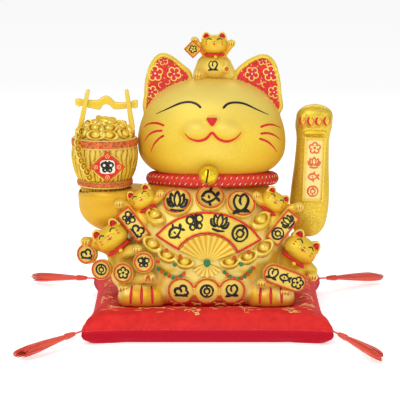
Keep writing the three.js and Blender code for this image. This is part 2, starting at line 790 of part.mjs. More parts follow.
function addWavingArm() {
  const arm = new THREE.Group();
  arm.position.set(ARM.x, ARM.y, ARM.z);
  figurine.add(arm);

  const outline = [
    [0, ARM.bottom],
    [13, -28],
    [20.5, -14],
    [24, 6],
    [23.8, 28],
    [21.5, 60],
    [20.5, 88],
    [22.5, 106],
    [22.5, 116],
    [17, 129],
    [8, 135],
    [0, ARM.top],
  ];
  const lean = (p) => {
    p.x += p.z * ARM.lean;
    p.y *= ARM.depth;
  };
  const outer = shaped(turned(outline, 20), lean);
  const inner = shaped(turned(shrunk(outline, ARM.wall), 12), lean);
  const pinHole = rodAlongX(PIN_R + GAP, -30, 0, 16);
  add(arm, "arm_shell", cut(outer, inner, pinHole), GLITTER_GOLD);

  const plaque = cut(placed(sign(25, 81, 2, 6), [3.5, -19, 57], [0, ARM.lean / DEG, 0]), grown(outer, GAP));
  add(arm, "arm_plaque", largest(plaque), PALE_GOLD);

  const pinStart = PENDULUM.x - 18 - ARM.x;
  add(arm, "pivot_shaft", rodAlongX(PIN_R, pinStart, -8, 16), STEEL);
  const barX = PENDULUM.x - ARM.x;
  const hub = rodAlongX(6, barX - 2, barX + 2, 16);
  const strip = placed(box(3, 8, PENDULUM.length), [barX, 0, -PENDULUM.length / 2]);
  const hole = rodAlongX(PIN_R + GAP, barX - 5, barX + 5, 16);
  add(arm, "pendulum_bar", cut(join(hub, strip), hole), STEEL);
  const [wx, wy, wz] = PENDULUM.weight;
  add(arm, "pendulum_magnet", box(wx, wy, wz), STEEL, [barX, PENDULUM.back, -PENDULUM.length - GAP - wz / 2]);
}

// The [radius, height] pairs of a closed outline brought in by a wall's thickness.
function shrunk(outline, wall) {
  const middle = (outline[0][1] + outline[outline.length - 1][1]) / 2;
  const half = middle - outline[0][1];
  return outline.map(([radius, height]) => [
    Math.max(0, radius - wall),
    middle + ((height - middle) * (half - wall)) / half,
  ]);
}

// ---------------------------------------------------------------- drive inside the body

function addDrive() {
  const floor = BASE_Z + WALL + GAP;
  const plateX = [PENDULUM.x - 14, PENDULUM.x + 12];
  const top = ARM.z + 7;
  const uprights = plateX.map((x) => placed(box(2.5, 24, top - floor), [x, 0, (top + floor) / 2]));
  const foot = placed(box(44, 26, 2.5), [PENDULUM.x - 8, 0, floor + 1.25]);
  const bore = rodAlongX(PIN_R + GAP, 40, 100, 16).translate(0, ARM.y, ARM.z);
  add(figurine, "mechanism_frame", cut(join(foot, ...uprights), bore), IVORY_PLASTIC);

  const coilR = 8;
  const coil = [[3, 0], [coilR, 0], [coilR, 7], [3, 7], [3, 0]];
  const ring = new THREE.LatheGeometry(coil.map(([r, h]) => new THREE.Vector2(r, h)), 20).rotateX(Math.PI / 2);
  add(figurine, "drive_coil", ring, COPPER, [PENDULUM.x - 1, 0, floor + 2.5 + GAP]);
  add(figurine, "circuit_board", box(1.6, 26, 20), BOARD_GREEN, [plateX[0] - 1.25 - GAP - 0.8, 0, floor + 22]);
}

// ---------------------------------------------------------------- rear power unit

function addPowerUnit() {
  const { x, y, z, width, height, switchX } = POWER;
  const unit = new THREE.Group();
  unit.position.set(x, y, z);
  figurine.add(unit);

  const flange = placed(box(width, 2.4, height), [0, 1.2 + GAP, 0]);
  const cup = placed(box(BAY.width + 6, BAY.depth, BAY.height + 6), [BAY.x, GAP - BAY.depth / 2 + 1, 0]);
  const bay = placed(box(BAY.width, BAY.depth + 4, BAY.height), [BAY.x, GAP - BAY.depth / 2 + 6, 0]);
  const slot = placed(box(6, 20, 13), [switchX, 0, 0]);
  add(unit, "power_unit_housing", cut(join(flange, cup), bay, slot), BLACK_PLASTIC);

  const lid = placed(box(BAY.width - 2 * GAP, 2, BAY.height - 2 * GAP), [BAY.x, 1.4 + GAP, 0]);
  const tab = placed(box(12, 1.6, 3), [BAY.x, 3.2, BAY.height / 2 - 3]);
  add(unit, "battery_door", join(lid, tab), BLACK_PLASTIC);

  const cell = rodAlongX(12.8, BAY.x - 24.5, BAY.x + 24.5, 16).translate(0, -12.6, 0);
  add(unit, "battery_cell", cell, STEEL);
  const knob = join(placed(box(5.2, 4, 6), [0, 1.2, 0]), placed(box(7.6, 1.4, 9), [0, 3.8, 0]));
  add(unit, "power_switch", knob, IVORY_PLASTIC, [switchX, 0, -2]);

  [-1, 1].forEach((side, i) => {
    const head = rod(2.8, 1.6, 12).rotateX(-Math.PI / 2);
    add(unit, "power_unit_screw_" + (i + 1), head, STEEL, [switchX, 2.4 + 2 * GAP, side * (height / 2 - 6)]);
  });
}

// ---------------------------------------------------------------- assembly

add(figurine, "cushion", cushion(), CUSHION_RED);
TASSELS.forEach(addTassel);

add(figurine, "body_shell", bodyShell(), GOLD);
add(figurine, "head_shell", headShell(), GOLD);
addCollar();
rooms.push(bodyRoom, collarRoom);
addLargeCoins();
addSmallCoins();
addLowerSigns();
addPlaques();
addIngots();
addFan();
addBeads("beads_left", [[-59.3, 80.8], [-42.4, 71.7], [-28.5, 76.9]]);
addBeads("beads_right", [[20.5, 78.9], [37.4, 70], [55.9, 82.2]]);
addLittleCats();
addRelief("bucket_arm", palmArm(), GOLD);
addCrownCat();
addBucket();
addWavingArm();
addDrive();
addPowerUnit();

const plugLip = 3;
const plugOutline = [
  [0, 0],
  [PLUG_R - GAP, 0],
  [PLUG_R - GAP, 7],
  [PLUG_R + plugLip, 7],
  [PLUG_R + plugLip, 9],
  [0, 9],
];
const plug = turned(plugOutline, 24);
add(figurine, "base_plug", plug, RUBBER, [0, 0, BASE_Z]);

export default figurine;
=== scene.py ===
"""Looks of the beckoning cat figurine on its tasselled cushion.

Forms are worked out in millimetres in the frame of the CAD model and handed to Blender in metres.
The castings are sculpted as distance fields and meshed with surface nets. Painted lines are thin
raised strokes laid on the sculpted surfaces.
"""
import json
import math

import bmesh
import bpy
import numpy as np
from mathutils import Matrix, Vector
from mathutils.bvhtree import BVHTree

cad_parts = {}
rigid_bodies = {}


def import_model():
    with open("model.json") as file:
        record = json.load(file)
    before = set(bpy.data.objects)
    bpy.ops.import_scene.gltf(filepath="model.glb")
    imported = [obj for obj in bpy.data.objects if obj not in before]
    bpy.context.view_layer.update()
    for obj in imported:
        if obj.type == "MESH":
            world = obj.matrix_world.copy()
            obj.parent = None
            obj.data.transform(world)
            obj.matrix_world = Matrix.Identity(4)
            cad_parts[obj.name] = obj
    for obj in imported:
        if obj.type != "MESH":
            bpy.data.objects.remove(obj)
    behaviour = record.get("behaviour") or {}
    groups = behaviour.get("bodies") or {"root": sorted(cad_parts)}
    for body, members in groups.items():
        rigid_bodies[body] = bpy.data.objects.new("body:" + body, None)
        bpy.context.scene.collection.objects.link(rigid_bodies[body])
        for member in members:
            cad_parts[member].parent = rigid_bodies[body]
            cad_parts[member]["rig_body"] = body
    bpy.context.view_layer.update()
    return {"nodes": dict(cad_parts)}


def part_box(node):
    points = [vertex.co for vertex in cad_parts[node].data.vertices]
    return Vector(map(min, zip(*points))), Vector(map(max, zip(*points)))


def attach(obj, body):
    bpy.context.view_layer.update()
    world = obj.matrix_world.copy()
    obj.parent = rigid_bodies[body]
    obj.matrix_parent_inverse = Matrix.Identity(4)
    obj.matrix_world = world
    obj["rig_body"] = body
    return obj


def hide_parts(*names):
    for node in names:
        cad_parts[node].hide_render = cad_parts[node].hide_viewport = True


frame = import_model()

MM = 0.001
ROOT = "figurine"
VIEW_PITCH = 10  # degrees downwards
VIEW_TARGET = (-9, 0, 150)
VIEW_DISTANCE = 2600
LENS = 187.2
LIGHT_TARGET = (0, 0, 150)
LIGHTS = {  # place, size, watts
    "key": ((-700, -1500, 1700), (1500, 1300), 20),
    "fill": ((1400, -1200, 700), (900, 1200), 4),
    "front": ((0, -2100, 300), (1200, 700), 1.5),
    "back": ((200, 1300, 1300), (1400, 600), 7),
}
SKY_STRENGTH = 0.52
FLOOR_HALF = 12000


# ------------------------------------------------------------------ camera, lights, floor

def make_camera():
    """A long lens, looking along +Y and a little down."""
    pitch = math.radians(VIEW_PITCH)
    target = Vector(VIEW_TARGET) * MM
    distance = VIEW_DISTANCE * MM
    data = bpy.data.cameras.new("camera")
    data.sensor_width = 36
    data.lens = LENS
    camera = bpy.data.objects.new("camera", data)
    camera.location = target + Vector((0, -math.cos(pitch), math.sin(pitch))) * distance
    camera.rotation_euler = (math.radians(90) - pitch, 0, 0)
    bpy.context.scene.collection.objects.link(camera)
    bpy.context.scene.camera = camera


make_camera()


def area_light(name, place, size, power):
    data = bpy.data.lights.new(name, "AREA")
    data.shape = "RECTANGLE"
    data.size, data.size_y = size[0] * MM, size[1] * MM
    data.energy = power
    light = bpy.data.objects.new(name, data)
    light.location = Vector(place) * MM
    way = Vector(LIGHT_TARGET) * MM - light.location
    light.rotation_euler = way.to_track_quat("-Z", "Y").to_euler()
    bpy.context.scene.collection.objects.link(light)


def make_studio():
    """Four area lights round the object under an even white sky."""
    for name, (place, size, power) in LIGHTS.items():
        area_light(name, place, size, power)
    world = bpy.data.worlds.new("studio")
    bpy.context.scene.world = world
    world.use_nodes = True
    background = world.node_tree.nodes["Background"]
    background.inputs["Color"].default_value = (1, 1, 1, 1)
    background.inputs["Strength"].default_value = SKY_STRENGTH
    bpy.context.scene.view_settings.view_transform = "Standard"


def make_floor():
    """A wide pale floor that fills the background."""
    half = FLOOR_HALF
    verts = [(-half, -half, 0), (half, -half, 0), (half, half, 0), (-half, half, 0)]
    white, _, _, shader = node_material("floor_white")
    set_inputs(shader, Base_Color=(0.93, 0.93, 0.93, 1), Roughness=0.9, Metallic=0.0, Specular_IOR_Level=0.0,
               Emission_Color=(1, 1, 1, 1), Emission_Strength=0.45)
    new_object("floor", verts, [(0, 1, 2, 3)], white)


# ------------------------------------------------------------------ materials

def node_material(name):
    material = bpy.data.materials.new(name)
    material.use_nodes = True
    nodes, links = material.node_tree.nodes, material.node_tree.links
    return material, nodes, links, nodes["Principled BSDF"]


def set_inputs(shader, **values):
    """Sets a shader's inputs by name, with _ for each space."""
    for name, value in values.items():
        shader.inputs[name.replace("_", " ")].default_value = value


def place_node(nodes, links):
    """Object coordinates in millimetres."""
    texture = nodes.new("ShaderNodeTexCoord")
    scale = nodes.new("ShaderNodeVectorMath")
    scale.operation = "SCALE"
    scale.inputs["Scale"].default_value = 1 / MM
    links.new(texture.outputs["Object"], scale.inputs[0])
    return scale.outputs[0]


def noise_node(nodes, links, place, scale, detail=2.0, roughness=0.5):
    noise = nodes.new("ShaderNodeTexNoise")
    set_inputs(noise, Scale=scale, Detail=detail, Roughness=roughness)
    links.new(place, noise.inputs["Vector"])
    return noise.outputs["Fac"]


def ramp_node(nodes, links, value, stops):
    ramp = nodes.new("ShaderNodeValToRGB")
    elements = ramp.color_ramp.elements
    while len(elements) < len(stops):
        elements.new(0.5)
    for element, (position, colour) in zip(elements, stops):
        element.position = position
        element.color = (*colour, 1)
    links.new(value, ramp.inputs["Fac"])
    return ramp.outputs["Color"]


def mix_node(nodes, links, share, first, second):
    """Mixes two colours; either may be a tuple."""
    mix = nodes.new("ShaderNodeMix")
    mix.data_type = "RGBA"
    for socket, value in ((mix.inputs[0], share), (mix.inputs[6], first), (mix.inputs[7], second)):
        if isinstance(value, tuple):
            socket.default_value = (*value, 1)
        elif isinstance(value, float):
            socket.default_value = value
        else:
            links.new(value, socket)
    return mix.outputs[2]


def range_node(nodes, links, value, low, high, to_low, to_high):
    ranged = nodes.new("ShaderNodeMapRange")
    set_inputs(ranged, From_Min=low, From_Max=high, To_Min=to_low, To_Max=to_high)
    links.new(value, ranged.inputs["Value"])
    return ranged.outputs["Result"]


def bump_node(nodes, links, shader, height, strength, distance_mm):
    bump = nodes.new("ShaderNodeBump")
    set_inputs(bump, Strength=strength, Distance=distance_mm * MM)
    links.new(height, bump.inputs["Height"])
    links.new(bump.outputs["Normal"], shader.inputs["Normal"])


def attribute_node(nodes, name):
    attribute = nodes.new("ShaderNodeAttribute")
    attribute.attribute_name = name
    return attribute.outputs["Fac"]


def speckled_roughness(nodes, links, shader, fine, low, high):
    """Roughness between `low` and `high` that follows the fine grain."""
    links.new(range_node(nodes, links, fine, 0.3, 0.7, low, high), shader.inputs["Roughness"])


def gold_material(name, base, shade, pale, speckle=0.3, grain=1.2, roughness=0.42, metallic=0.3):
    """Gold lustre with a fine pearly speckle, coloured as three attributes say: towards `shade` by
    "amber" (painted shade), towards `pale` by "pale" (painted highlights, pale tints), and towards red by
    "red"."""
    material, nodes, links, shader = node_material(name)
    place = place_node(nodes, links)
    broad = noise_node(nodes, links, place, 0.035, 2.0)
    fine = noise_node(nodes, links, place, 1 / grain, 3.0, 0.7)
    drift = ramp_node(nodes, links, broad, [(0.3, tuple(c * 0.93 for c in base)), (0.7, base)])
    spots = range_node(nodes, links, fine, 0.45, 0.72, 0.0, speckle)
    spotted = mix_node(nodes, links, spots, drift, pale)
    ambered = mix_node(nodes, links, attribute_node(nodes, "amber"), spotted, shade)
    colour = mix_node(nodes, links, attribute_node(nodes, "pale"), ambered, pale)
    reddened = mix_node(nodes, links, attribute_node(nodes, "red"), colour, (0.62, 0.035, 0.02))
    links.new(reddened, shader.inputs["Base Color"])
    speckled_roughness(nodes, links, shader, fine, roughness - 0.06, roughness + 0.1)
    set_inputs(shader, Metallic=metallic, IOR=1.35, Specular_Tint=(1.0, 0.80, 0.35, 1))
    bump_node(nodes, links, shader, fine, 0.25 * speckle ** 0.5, 0.25)
    return material


def enamel_material(name, colour, roughness=0.5, mottle=0.12):
    """Hand-laid enamel: slightly uneven in colour and thickness."""
    material, nodes, links, shader = node_material(name)
    place = place_node(nodes, links)
    uneven = noise_node(nodes, links, place, 0.35, 3.0)
    lighter = tuple(min(1.0, c * (1 + 2 * mottle) + mottle * 0.06) for c in colour)
    darker = tuple(c * (1 - mottle) for c in colour)
    links.new(ramp_node(nodes, links, uneven, [(0.35, darker), (0.65, lighter)]), shader.inputs["Base Color"])
    set_inputs(shader, Roughness=roughness, IOR=1.38)
    bump_node(nodes, links, shader, uneven, 0.3, 0.3)
    return material


def make_materials():
    # The `shade` colour of each gold (amber, brown and the others) is the colour of its painted shade.
    gold = (0.80, 0.52, 0.03)
    amber = (0.68, 0.27, 0.006)
    cream = (0.90, 0.74, 0.24)
    brown = (0.22, 0.07, 0.004)
    return {
        "gold": gold_material("gold_lustre", gold, amber, cream),
        "pearl": gold_material("pearl_gold_lustre", (0.80, 0.54, 0.03), (0.70, 0.32, 0.008),
                               (0.90, 0.73, 0.2),
                               0.55, 1.3, 0.52, 0.3),
        "relief": gold_material("relief_gold", (0.82, 0.56, 0.04), amber, cream, 0.2),
        "coin_face": gold_material("coin_face_gold", (0.86, 0.60, 0.08), amber, cream, 0.6, 1.6),
        "plate_face": gold_material("plate_face_gold", (0.92, 0.76, 0.28), amber, (0.95, 0.86, 0.5), 0.3),
        "bright": gold_material("gilt", (0.84, 0.56, 0.03), (0.45, 0.20, 0.005), cream, 0.2, 1.0, 0.3, 0.45),
        "glitter": gold_material("glitter_gold", (0.72, 0.46, 0.012), (0.26, 0.13, 0.004), (0.98, 0.82, 0.22),
                                 1.0, 1.4, 0.36, 0.4),
        "reed": gold_material("reed_gold", gold, brown, cream, 0.3),
        "red": enamel_material("orange_red_enamel", (0.58, 0.062, 0.008)),
        "crimson": enamel_material("crimson_enamel", (0.60, 0.012, 0.014)),
        "black": enamel_material("black_enamel", (0.006, 0.006, 0.007), 0.3),
        "green": enamel_material("green_enamel", (0.015, 0.20, 0.07), 0.25),
        "gilt_line": enamel_material("gold_line_enamel", (0.93, 0.66, 0.12), 0.35),
        "rose": enamel_material("rose_enamel", (0.70, 0.14, 0.05)),
        "cream": enamel_material("cream_enamel", (0.92, 0.84, 0.60)),
        "band": enamel_material("band_enamel", (0.50, 0.10, 0.014), 0.5, 0.35),
        "ear_red": enamel_material("ear_enamel", (0.62, 0.022, 0.024), 0.45),
        "seam": enamel_material("seam_thread", (0.62, 0.02, 0.03), 0.6),
        "cord_red": enamel_material("collar_rayon", (0.60, 0.026, 0.018), 0.55),
        "brocade_gold": enamel_material("brocade_thread", (0.85, 0.50, 0.18), 0.45),
        "brass": gold_material("bell_brass", (0.86, 0.60, 0.03), (0.4, 0.2, 0.01), cream, 0.02, 6.0, 0.3,
                               0.65),
    }


# ------------------------------------------------------------------ mesh building

def shade_smooth(mesh):
    mesh.polygons.foreach_set("use_smooth", np.ones(len(mesh.polygons), dtype=bool))


def new_object(name, verts, faces, material):
    """A mesh object from points in millimetres. `faces` is a list or an integer array of polygons."""
    mesh = bpy.data.meshes.new(name)
    verts = np.asarray(verts, dtype=np.float64) * MM
    faces = faces.tolist() if isinstance(faces, np.ndarray) else faces
    mesh.from_pydata(verts.tolist(), [], faces)
    mesh.update()
    shade_smooth(mesh)
    for one in material if isinstance(material, (list, tuple)) else [material]:
        mesh.materials.append(one)
    thing = bpy.data.objects.new(name, mesh)
    bpy.context.scene.collection.objects.link(thing)
    return thing


def paint(thing, **shares):
    """Writes per-point shares (0 to 1) that the gold materials read."""
    for name in ("amber", "pale", "red"):
        layer = thing.data.attributes.new(name, "FLOAT", "POINT")
        values = shares.get(name, 0.0)
        filled = np.broadcast_to(np.asarray(values, dtype=np.float32), (len(thing.data.vertices),))
        layer.data.foreach_set("value", np.ascontiguousarray(np.clip(filled, 0, 1)))


def points_of(thing):
    """The mesh's points in millimetres."""
    points = np.empty(len(thing.data.vertices) * 3)
    thing.data.vertices.foreach_get("co", points)
    return points.reshape(-1, 3) / MM


def normals_of(thing):
    normals = np.empty(len(thing.data.vertices) * 3)
    thing.data.vertices.foreach_get("normal", normals)
    return normals.reshape(-1, 3)


def set_slots(thing, slots):
    """Gives each face the material of its slot."""
    thing.data.polygons.foreach_set("material_index", np.asarray(slots, dtype=np.int32))


def inner_slots(thing, inner):
    """Slot 1 for the faces whose points are all `inner`, 0 for the rest."""
    return [1 if all(inner[v] for v in polygon.vertices) else 0 for polygon in thing.data.polygons]


def tree_of(*things):
    """A search tree over the faces of some pieces, in millimetres."""
    verts, faces = [], []
    for thing in things:
        start = len(verts)
        verts += [tuple(v) for v in points_of(thing)]
        faces += [[start + i for i in polygon.vertices] for polygon in thing.data.polygons]
    return BVHTree.FromPolygons(verts, faces)


def band_faces(first, second, sides):
    """Quads between two rings of `sides` points that start at the given numbers."""
    return [(first + j, first + (j + 1) % sides, second + (j + 1) % sides, second + j) for j in range(sides)]


def angles_round(count):
    return 2 * np.pi * np.arange(count) / count


def of_length_one(vectors):
    return vectors / np.maximum(np.linalg.norm(vectors, axis=1, keepdims=True), 1e-9)


def cos_sin(degrees):
    return math.cos(math.radians(degrees)), math.sin(math.radians(degrees))


def clean(thing, weld=True):
    """Turns every face outwards and, with `weld`, joins doubled points."""
    mesh = bmesh.new()
    mesh.from_mesh(thing.data)
    if weld:
        bmesh.ops.remove_doubles(mesh, verts=mesh.verts, dist=0.02 * MM)
        bmesh.ops.dissolve_degenerate(mesh, dist=0.01 * MM, edges=mesh.edges)
    bmesh.ops.recalc_face_normals(mesh, faces=mesh.faces)
    mesh.to_mesh(thing.data)
    mesh.free()
    shade_smooth(thing.data)
    return thing


def settle(thing, body, slot, *nodes):
    """Makes a piece ride on its body and stand for CAD nodes, which it hides; `slot` is not used."""
    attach(thing, body)
    if nodes:
        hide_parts(*nodes)
    return thing


CELL_CORNERS = np.array([(i, j, k) for i in (0, 1) for j in (0, 1) for k in (0, 1)])
CELL_EDGES = [(a, b) for a in range(8) for b in range(a + 1, 8)
              if np.abs(CELL_CORNERS[a] - CELL_CORNERS[b]).sum() == 1]


def surface_nets(values, low, step):
    """Points and quads of the zero surface of a grid of distances, negative inside."""
    inside = values < 0
    nx, ny, nz = values.shape
    count = np.zeros((nx - 1, ny - 1, nz - 1), dtype=np.int8)
    for i, j, k in CELL_CORNERS:
        count += inside[i:nx - 1 + i, j:ny - 1 + j, k:nz - 1 + k]
    cells = np.argwhere((count > 0) & (count < 8))
    index = np.full(count.shape, -1, dtype=np.int64)
    index[tuple(cells.T)] = np.arange(len(cells))
    total = np.zeros((len(cells), 3))
    hits = np.zeros(len(cells))
    corner_values = [values[tuple((cells + corner).T)] for corner in CELL_CORNERS]
    for a, b in CELL_EDGES:
        va, vb = corner_values[a], corner_values[b]
        crossing = (va < 0) != (vb < 0)
        share = np.where(crossing, va / np.where(crossing, va - vb, 1), 0)
        point = CELL_CORNERS[a] + share[:, None] * (CELL_CORNERS[b] - CELL_CORNERS[a])
        total += point * crossing[:, None]
        hits += crossing
    points = low + (cells + total / hits[:, None]) * step
    quads = []
    for axis in range(3):
        first = [slice(None)] * 3
        second = [slice(None)] * 3
        first[axis] = slice(0, -1)
        second[axis] = slice(1, None)
        change = inside[tuple(first)] != inside[tuple(second)]
        other = [a for a in range(3) if a != axis]
        edges = np.argwhere(change)
        keep = np.ones(len(edges), dtype=bool)
        for a in other:
            keep &= (edges[:, a] > 0) & (edges[:, a] < values.shape[a] - 1)
        edges = edges[keep]
        corners = []
        for da, db in ((-1, -1), (0, -1), (0, 0), (-1, 0)):
            cell = edges.copy()
            cell[:, other[0]] += da
            cell[:, other[1]] += db
            corners.append(index[tuple(cell.T)])
        quad = np.stack(corners, axis=1)
        outward = inside[tuple(edges.T)]
        if axis == 1:
            outward = ~outward
        quad[~outward] = quad[~outward][:, ::-1]
        quads.append(quad)
    return points, np.concatenate(quads)


def apply_modifier(thing, modifier):
    bpy.context.view_layer.objects.active = thing
    bpy.ops.object.modifier_apply(modifier=modifier.name)


def sculpt(name, field, box, step, material):
    """Meshes a distance field inside a box given as (low corner, high corner)."""
    low, high = (np.asarray(corner, dtype=np.float64) for corner in box)
    axes = [np.arange(a, b + step, step) for a, b in zip(low, high)]
    grid = np.stack(np.meshgrid(*axes, indexing="ij"), axis=-1).astype(np.float32)
    points, quads = surface_nets(field(grid), low, step)
    return new_object(name, points, quads, material)


# --------------------------------------------------------------- distance fields and curves, in millimetres

CURVE_STEPS = 24  # points that a curve is worked out at between two given ones


def smooth_min(a, b, blend):
    share = np.clip(0.5 + 0.5 * (b - a) / blend, 0, 1)
    return b * (1 - share) + a * share - blend * share * (1 - share)


def smooth_max(a, b, blend):
    return -smooth_min(-a, -b, blend)


def turn_matrix(degrees):
    """Rotation by degrees about X, then Y, then Z."""
    matrix = np.eye(3)
    for axis, angle in enumerate(degrees):
        c, s = cos_sin(angle)
        a, b = [(1, 2), (2, 0), (0, 1)][axis]
        step = np.eye(3)
        step[a, a], step[a, b], step[b, a], step[b, b] = c, -s, s, c
        matrix = step @ matrix
    return matrix


def local(points, centre, turn=(0, 0, 0)):
    """Points in the axes of something placed at `centre` and turned."""
    moved = points - np.asarray(centre, dtype=np.float32)
    if any(turn):
        moved = moved @ turn_matrix(turn).astype(np.float32)
    return moved


def ellipsoid(points, centre, radii, turn=(0, 0, 0)):
    q = local(points, centre, turn)
    radii = np.asarray(radii, dtype=np.float32)
    near = np.linalg.norm(q / radii, axis=-1)
    far = np.linalg.norm(q / radii ** 2, axis=-1)
    return near * (near - 1) / np.maximum(far, 1e-6)


def round_cone(points, start, end, r_start, r_end):
    """A limb whose radius changes evenly from one end to the other."""
    start, end = np.asarray(start, dtype=np.float32), np.asarray(end, dtype=np.float32)
    way = end - start
    share = np.clip(((points - start) @ way) / float(way @ way), 0, 1)
    away = np.linalg.norm(points - start - share[..., None] * way, axis=-1)
    return away - (r_start + (r_end - r_start) * share)


def rounded_box(points, centre, half, radius, turn=(0, 0, 0)):
    q = np.abs(local(points, centre, turn)) - (np.asarray(half, dtype=np.float32) - radius)
    outside = np.linalg.norm(np.maximum(q, 0), axis=-1)
    return outside + np.minimum(q.max(axis=-1), 0) - radius


def polygon_distance(x, z, outline):
    """Signed distance in a plane to a closed outline of (x, z) points."""
    best = np.full(x.shape, 1e9, dtype=np.float32)
    crossings = np.zeros(x.shape, dtype=bool)
    for (ax, az), (bx, bz) in zip(outline, outline[1:] + outline[:1]):
        ex, ez = bx - ax, bz - az
        wx, wz = x - ax, z - az
        share = np.clip((wx * ex + wz * ez) / (ex * ex + ez * ez), 0, 1)
        best = np.minimum(best, (wx - ex * share) ** 2 + (wz - ez * share) ** 2)
        if az != bz:
            crossings ^= ((az > z) != (bz > z)) & (x < ex * (z - az) / ez + ax)
    return np.where(crossings, -1, 1) * np.sqrt(best)


def resampled(path, count, closed=False):
    """`count` points evenly spaced along a path; the last point of a closed one isn't repeated."""
    walked = np.concatenate(([0], np.cumsum(np.linalg.norm(np.diff(path, axis=0), axis=1))))
    wanted = np.linspace(0, walked[-1], count, endpoint=not closed)
    return np.stack([np.interp(wanted, walked, path[:, axis]) for axis in range(path.shape[1])], axis=1)


def smooth_curve(points, count):
    """`count` points evenly spaced along a Catmull-Rom curve through the given points."""
    points = np.asarray(points, dtype=float)
    padded = np.vstack((2 * points[0] - points[1], points, 2 * points[-1] - points[-2]))
    dense = []
    for i in range(len(points) - 1):
        p0, p1, p2, p3 = padded[i:i + 4]
        for t in np.linspace(0, 1, CURVE_STEPS, endpoint=False):
            dense.append(0.5 * (2 * p1 + (p2 - p0) * t + (2 * p0 - 5 * p1 + 4 * p2 - p3) * t ** 2
                                + (3 * p1 - p0 - 3 * p2 + p3) * t ** 3))
    dense.append(points[-1])
    return resampled(np.array(dense), count)


def closed_curve(points, count):
    """The same round a closed outline; the first point isn't repeated at the end."""
    points = list(points)
    looped = smooth_curve(points[-2:] + points + points[:2], (len(points) + 4) * CURVE_STEPS)
    near = 3 * CURVE_STEPS
    start = int(np.argmin(np.linalg.norm(looped[:near] - points[0], axis=1)))
    end = len(looped) - near + int(np.argmin(np.linalg.norm(looped[-near:] - points[0], axis=1)))
    return resampled(looped[start:end], count, closed=True)


# ------------------------------------------------------------------ strokes and patches on surfaces

RAY_REACH = 400


class Surface:
    """Finds points on sculpted pieces as seen from in front, or along another way."""

    def __init__(self, thing, way=(0, 1, 0)):
        self.tree = tree_of(thing)
        self.way = Vector(way)

    def at(self, point, lift=0.0):
        """The surface point met when going through `point` along the way, with the normal there."""
        start = Vector(point) - self.way * RAY_REACH
        hit, normal, _, _ = self.tree.ray_cast(start, self.way, 2 * RAY_REACH)
        if hit is None:
            hit, normal, _, _ = self.tree.find_nearest(Vector(point))
        if normal.dot(self.way) > 0:
            normal = -normal
        return np.array(hit + normal * lift), np.array(normal)


class Plane:
    """A flat surface given by its middle and its turn; its face looks along its own -Y."""

    def __init__(self, centre, turn=(0, 0, 0)):
        self.centre = np.asarray(centre, dtype=float)
        self.matrix = turn_matrix(turn)

    def at(self, point, lift=0.0):
        """`point` is (across, anything, up) in the plane's own axes."""
        inner = np.array((point[0], 0.0, point[2]))
        normal = self.matrix @ np.array((0.0, -1.0, 0.0))
        return self.centre + self.matrix @ inner + normal * lift, normal


def tube_mesh(points, normals, widths, heights, sides=8, closed=False):
    """Verts and quads of a tube of elliptical section; widths and heights are half sizes."""
    points, normals = np.asarray(points), np.asarray(normals)
    if closed:
        tangents = np.roll(points, -1, axis=0) - np.roll(points, 1, axis=0)
    else:
        tangents = np.gradient(points, axis=0)
    tangents = of_length_one(tangents)
    across = of_length_one(np.cross(tangents, normals))
    up = np.cross(across, tangents)
    angles = angles_round(sides)
    widths = np.broadcast_to(widths, (len(points),))
    heights = np.broadcast_to(heights, (len(points),))
    rings = (points[:, None] + across[:, None] * (widths[:, None] * np.cos(angles))[..., None]
             + up[:, None] * (heights[:, None] * np.sin(angles))[..., None])
    verts = rings.reshape(-1, 3)
    count = len(points)
    faces = []
    for i in range(count if closed else count - 1):
        faces += band_faces(i * sides, ((i + 1) % count) * sides, sides)
    if not closed:
        faces.append(tuple(range(sides))[::-1])
        faces.append(tuple((count - 1) * sides + j for j in range(sides)))
    return verts, faces


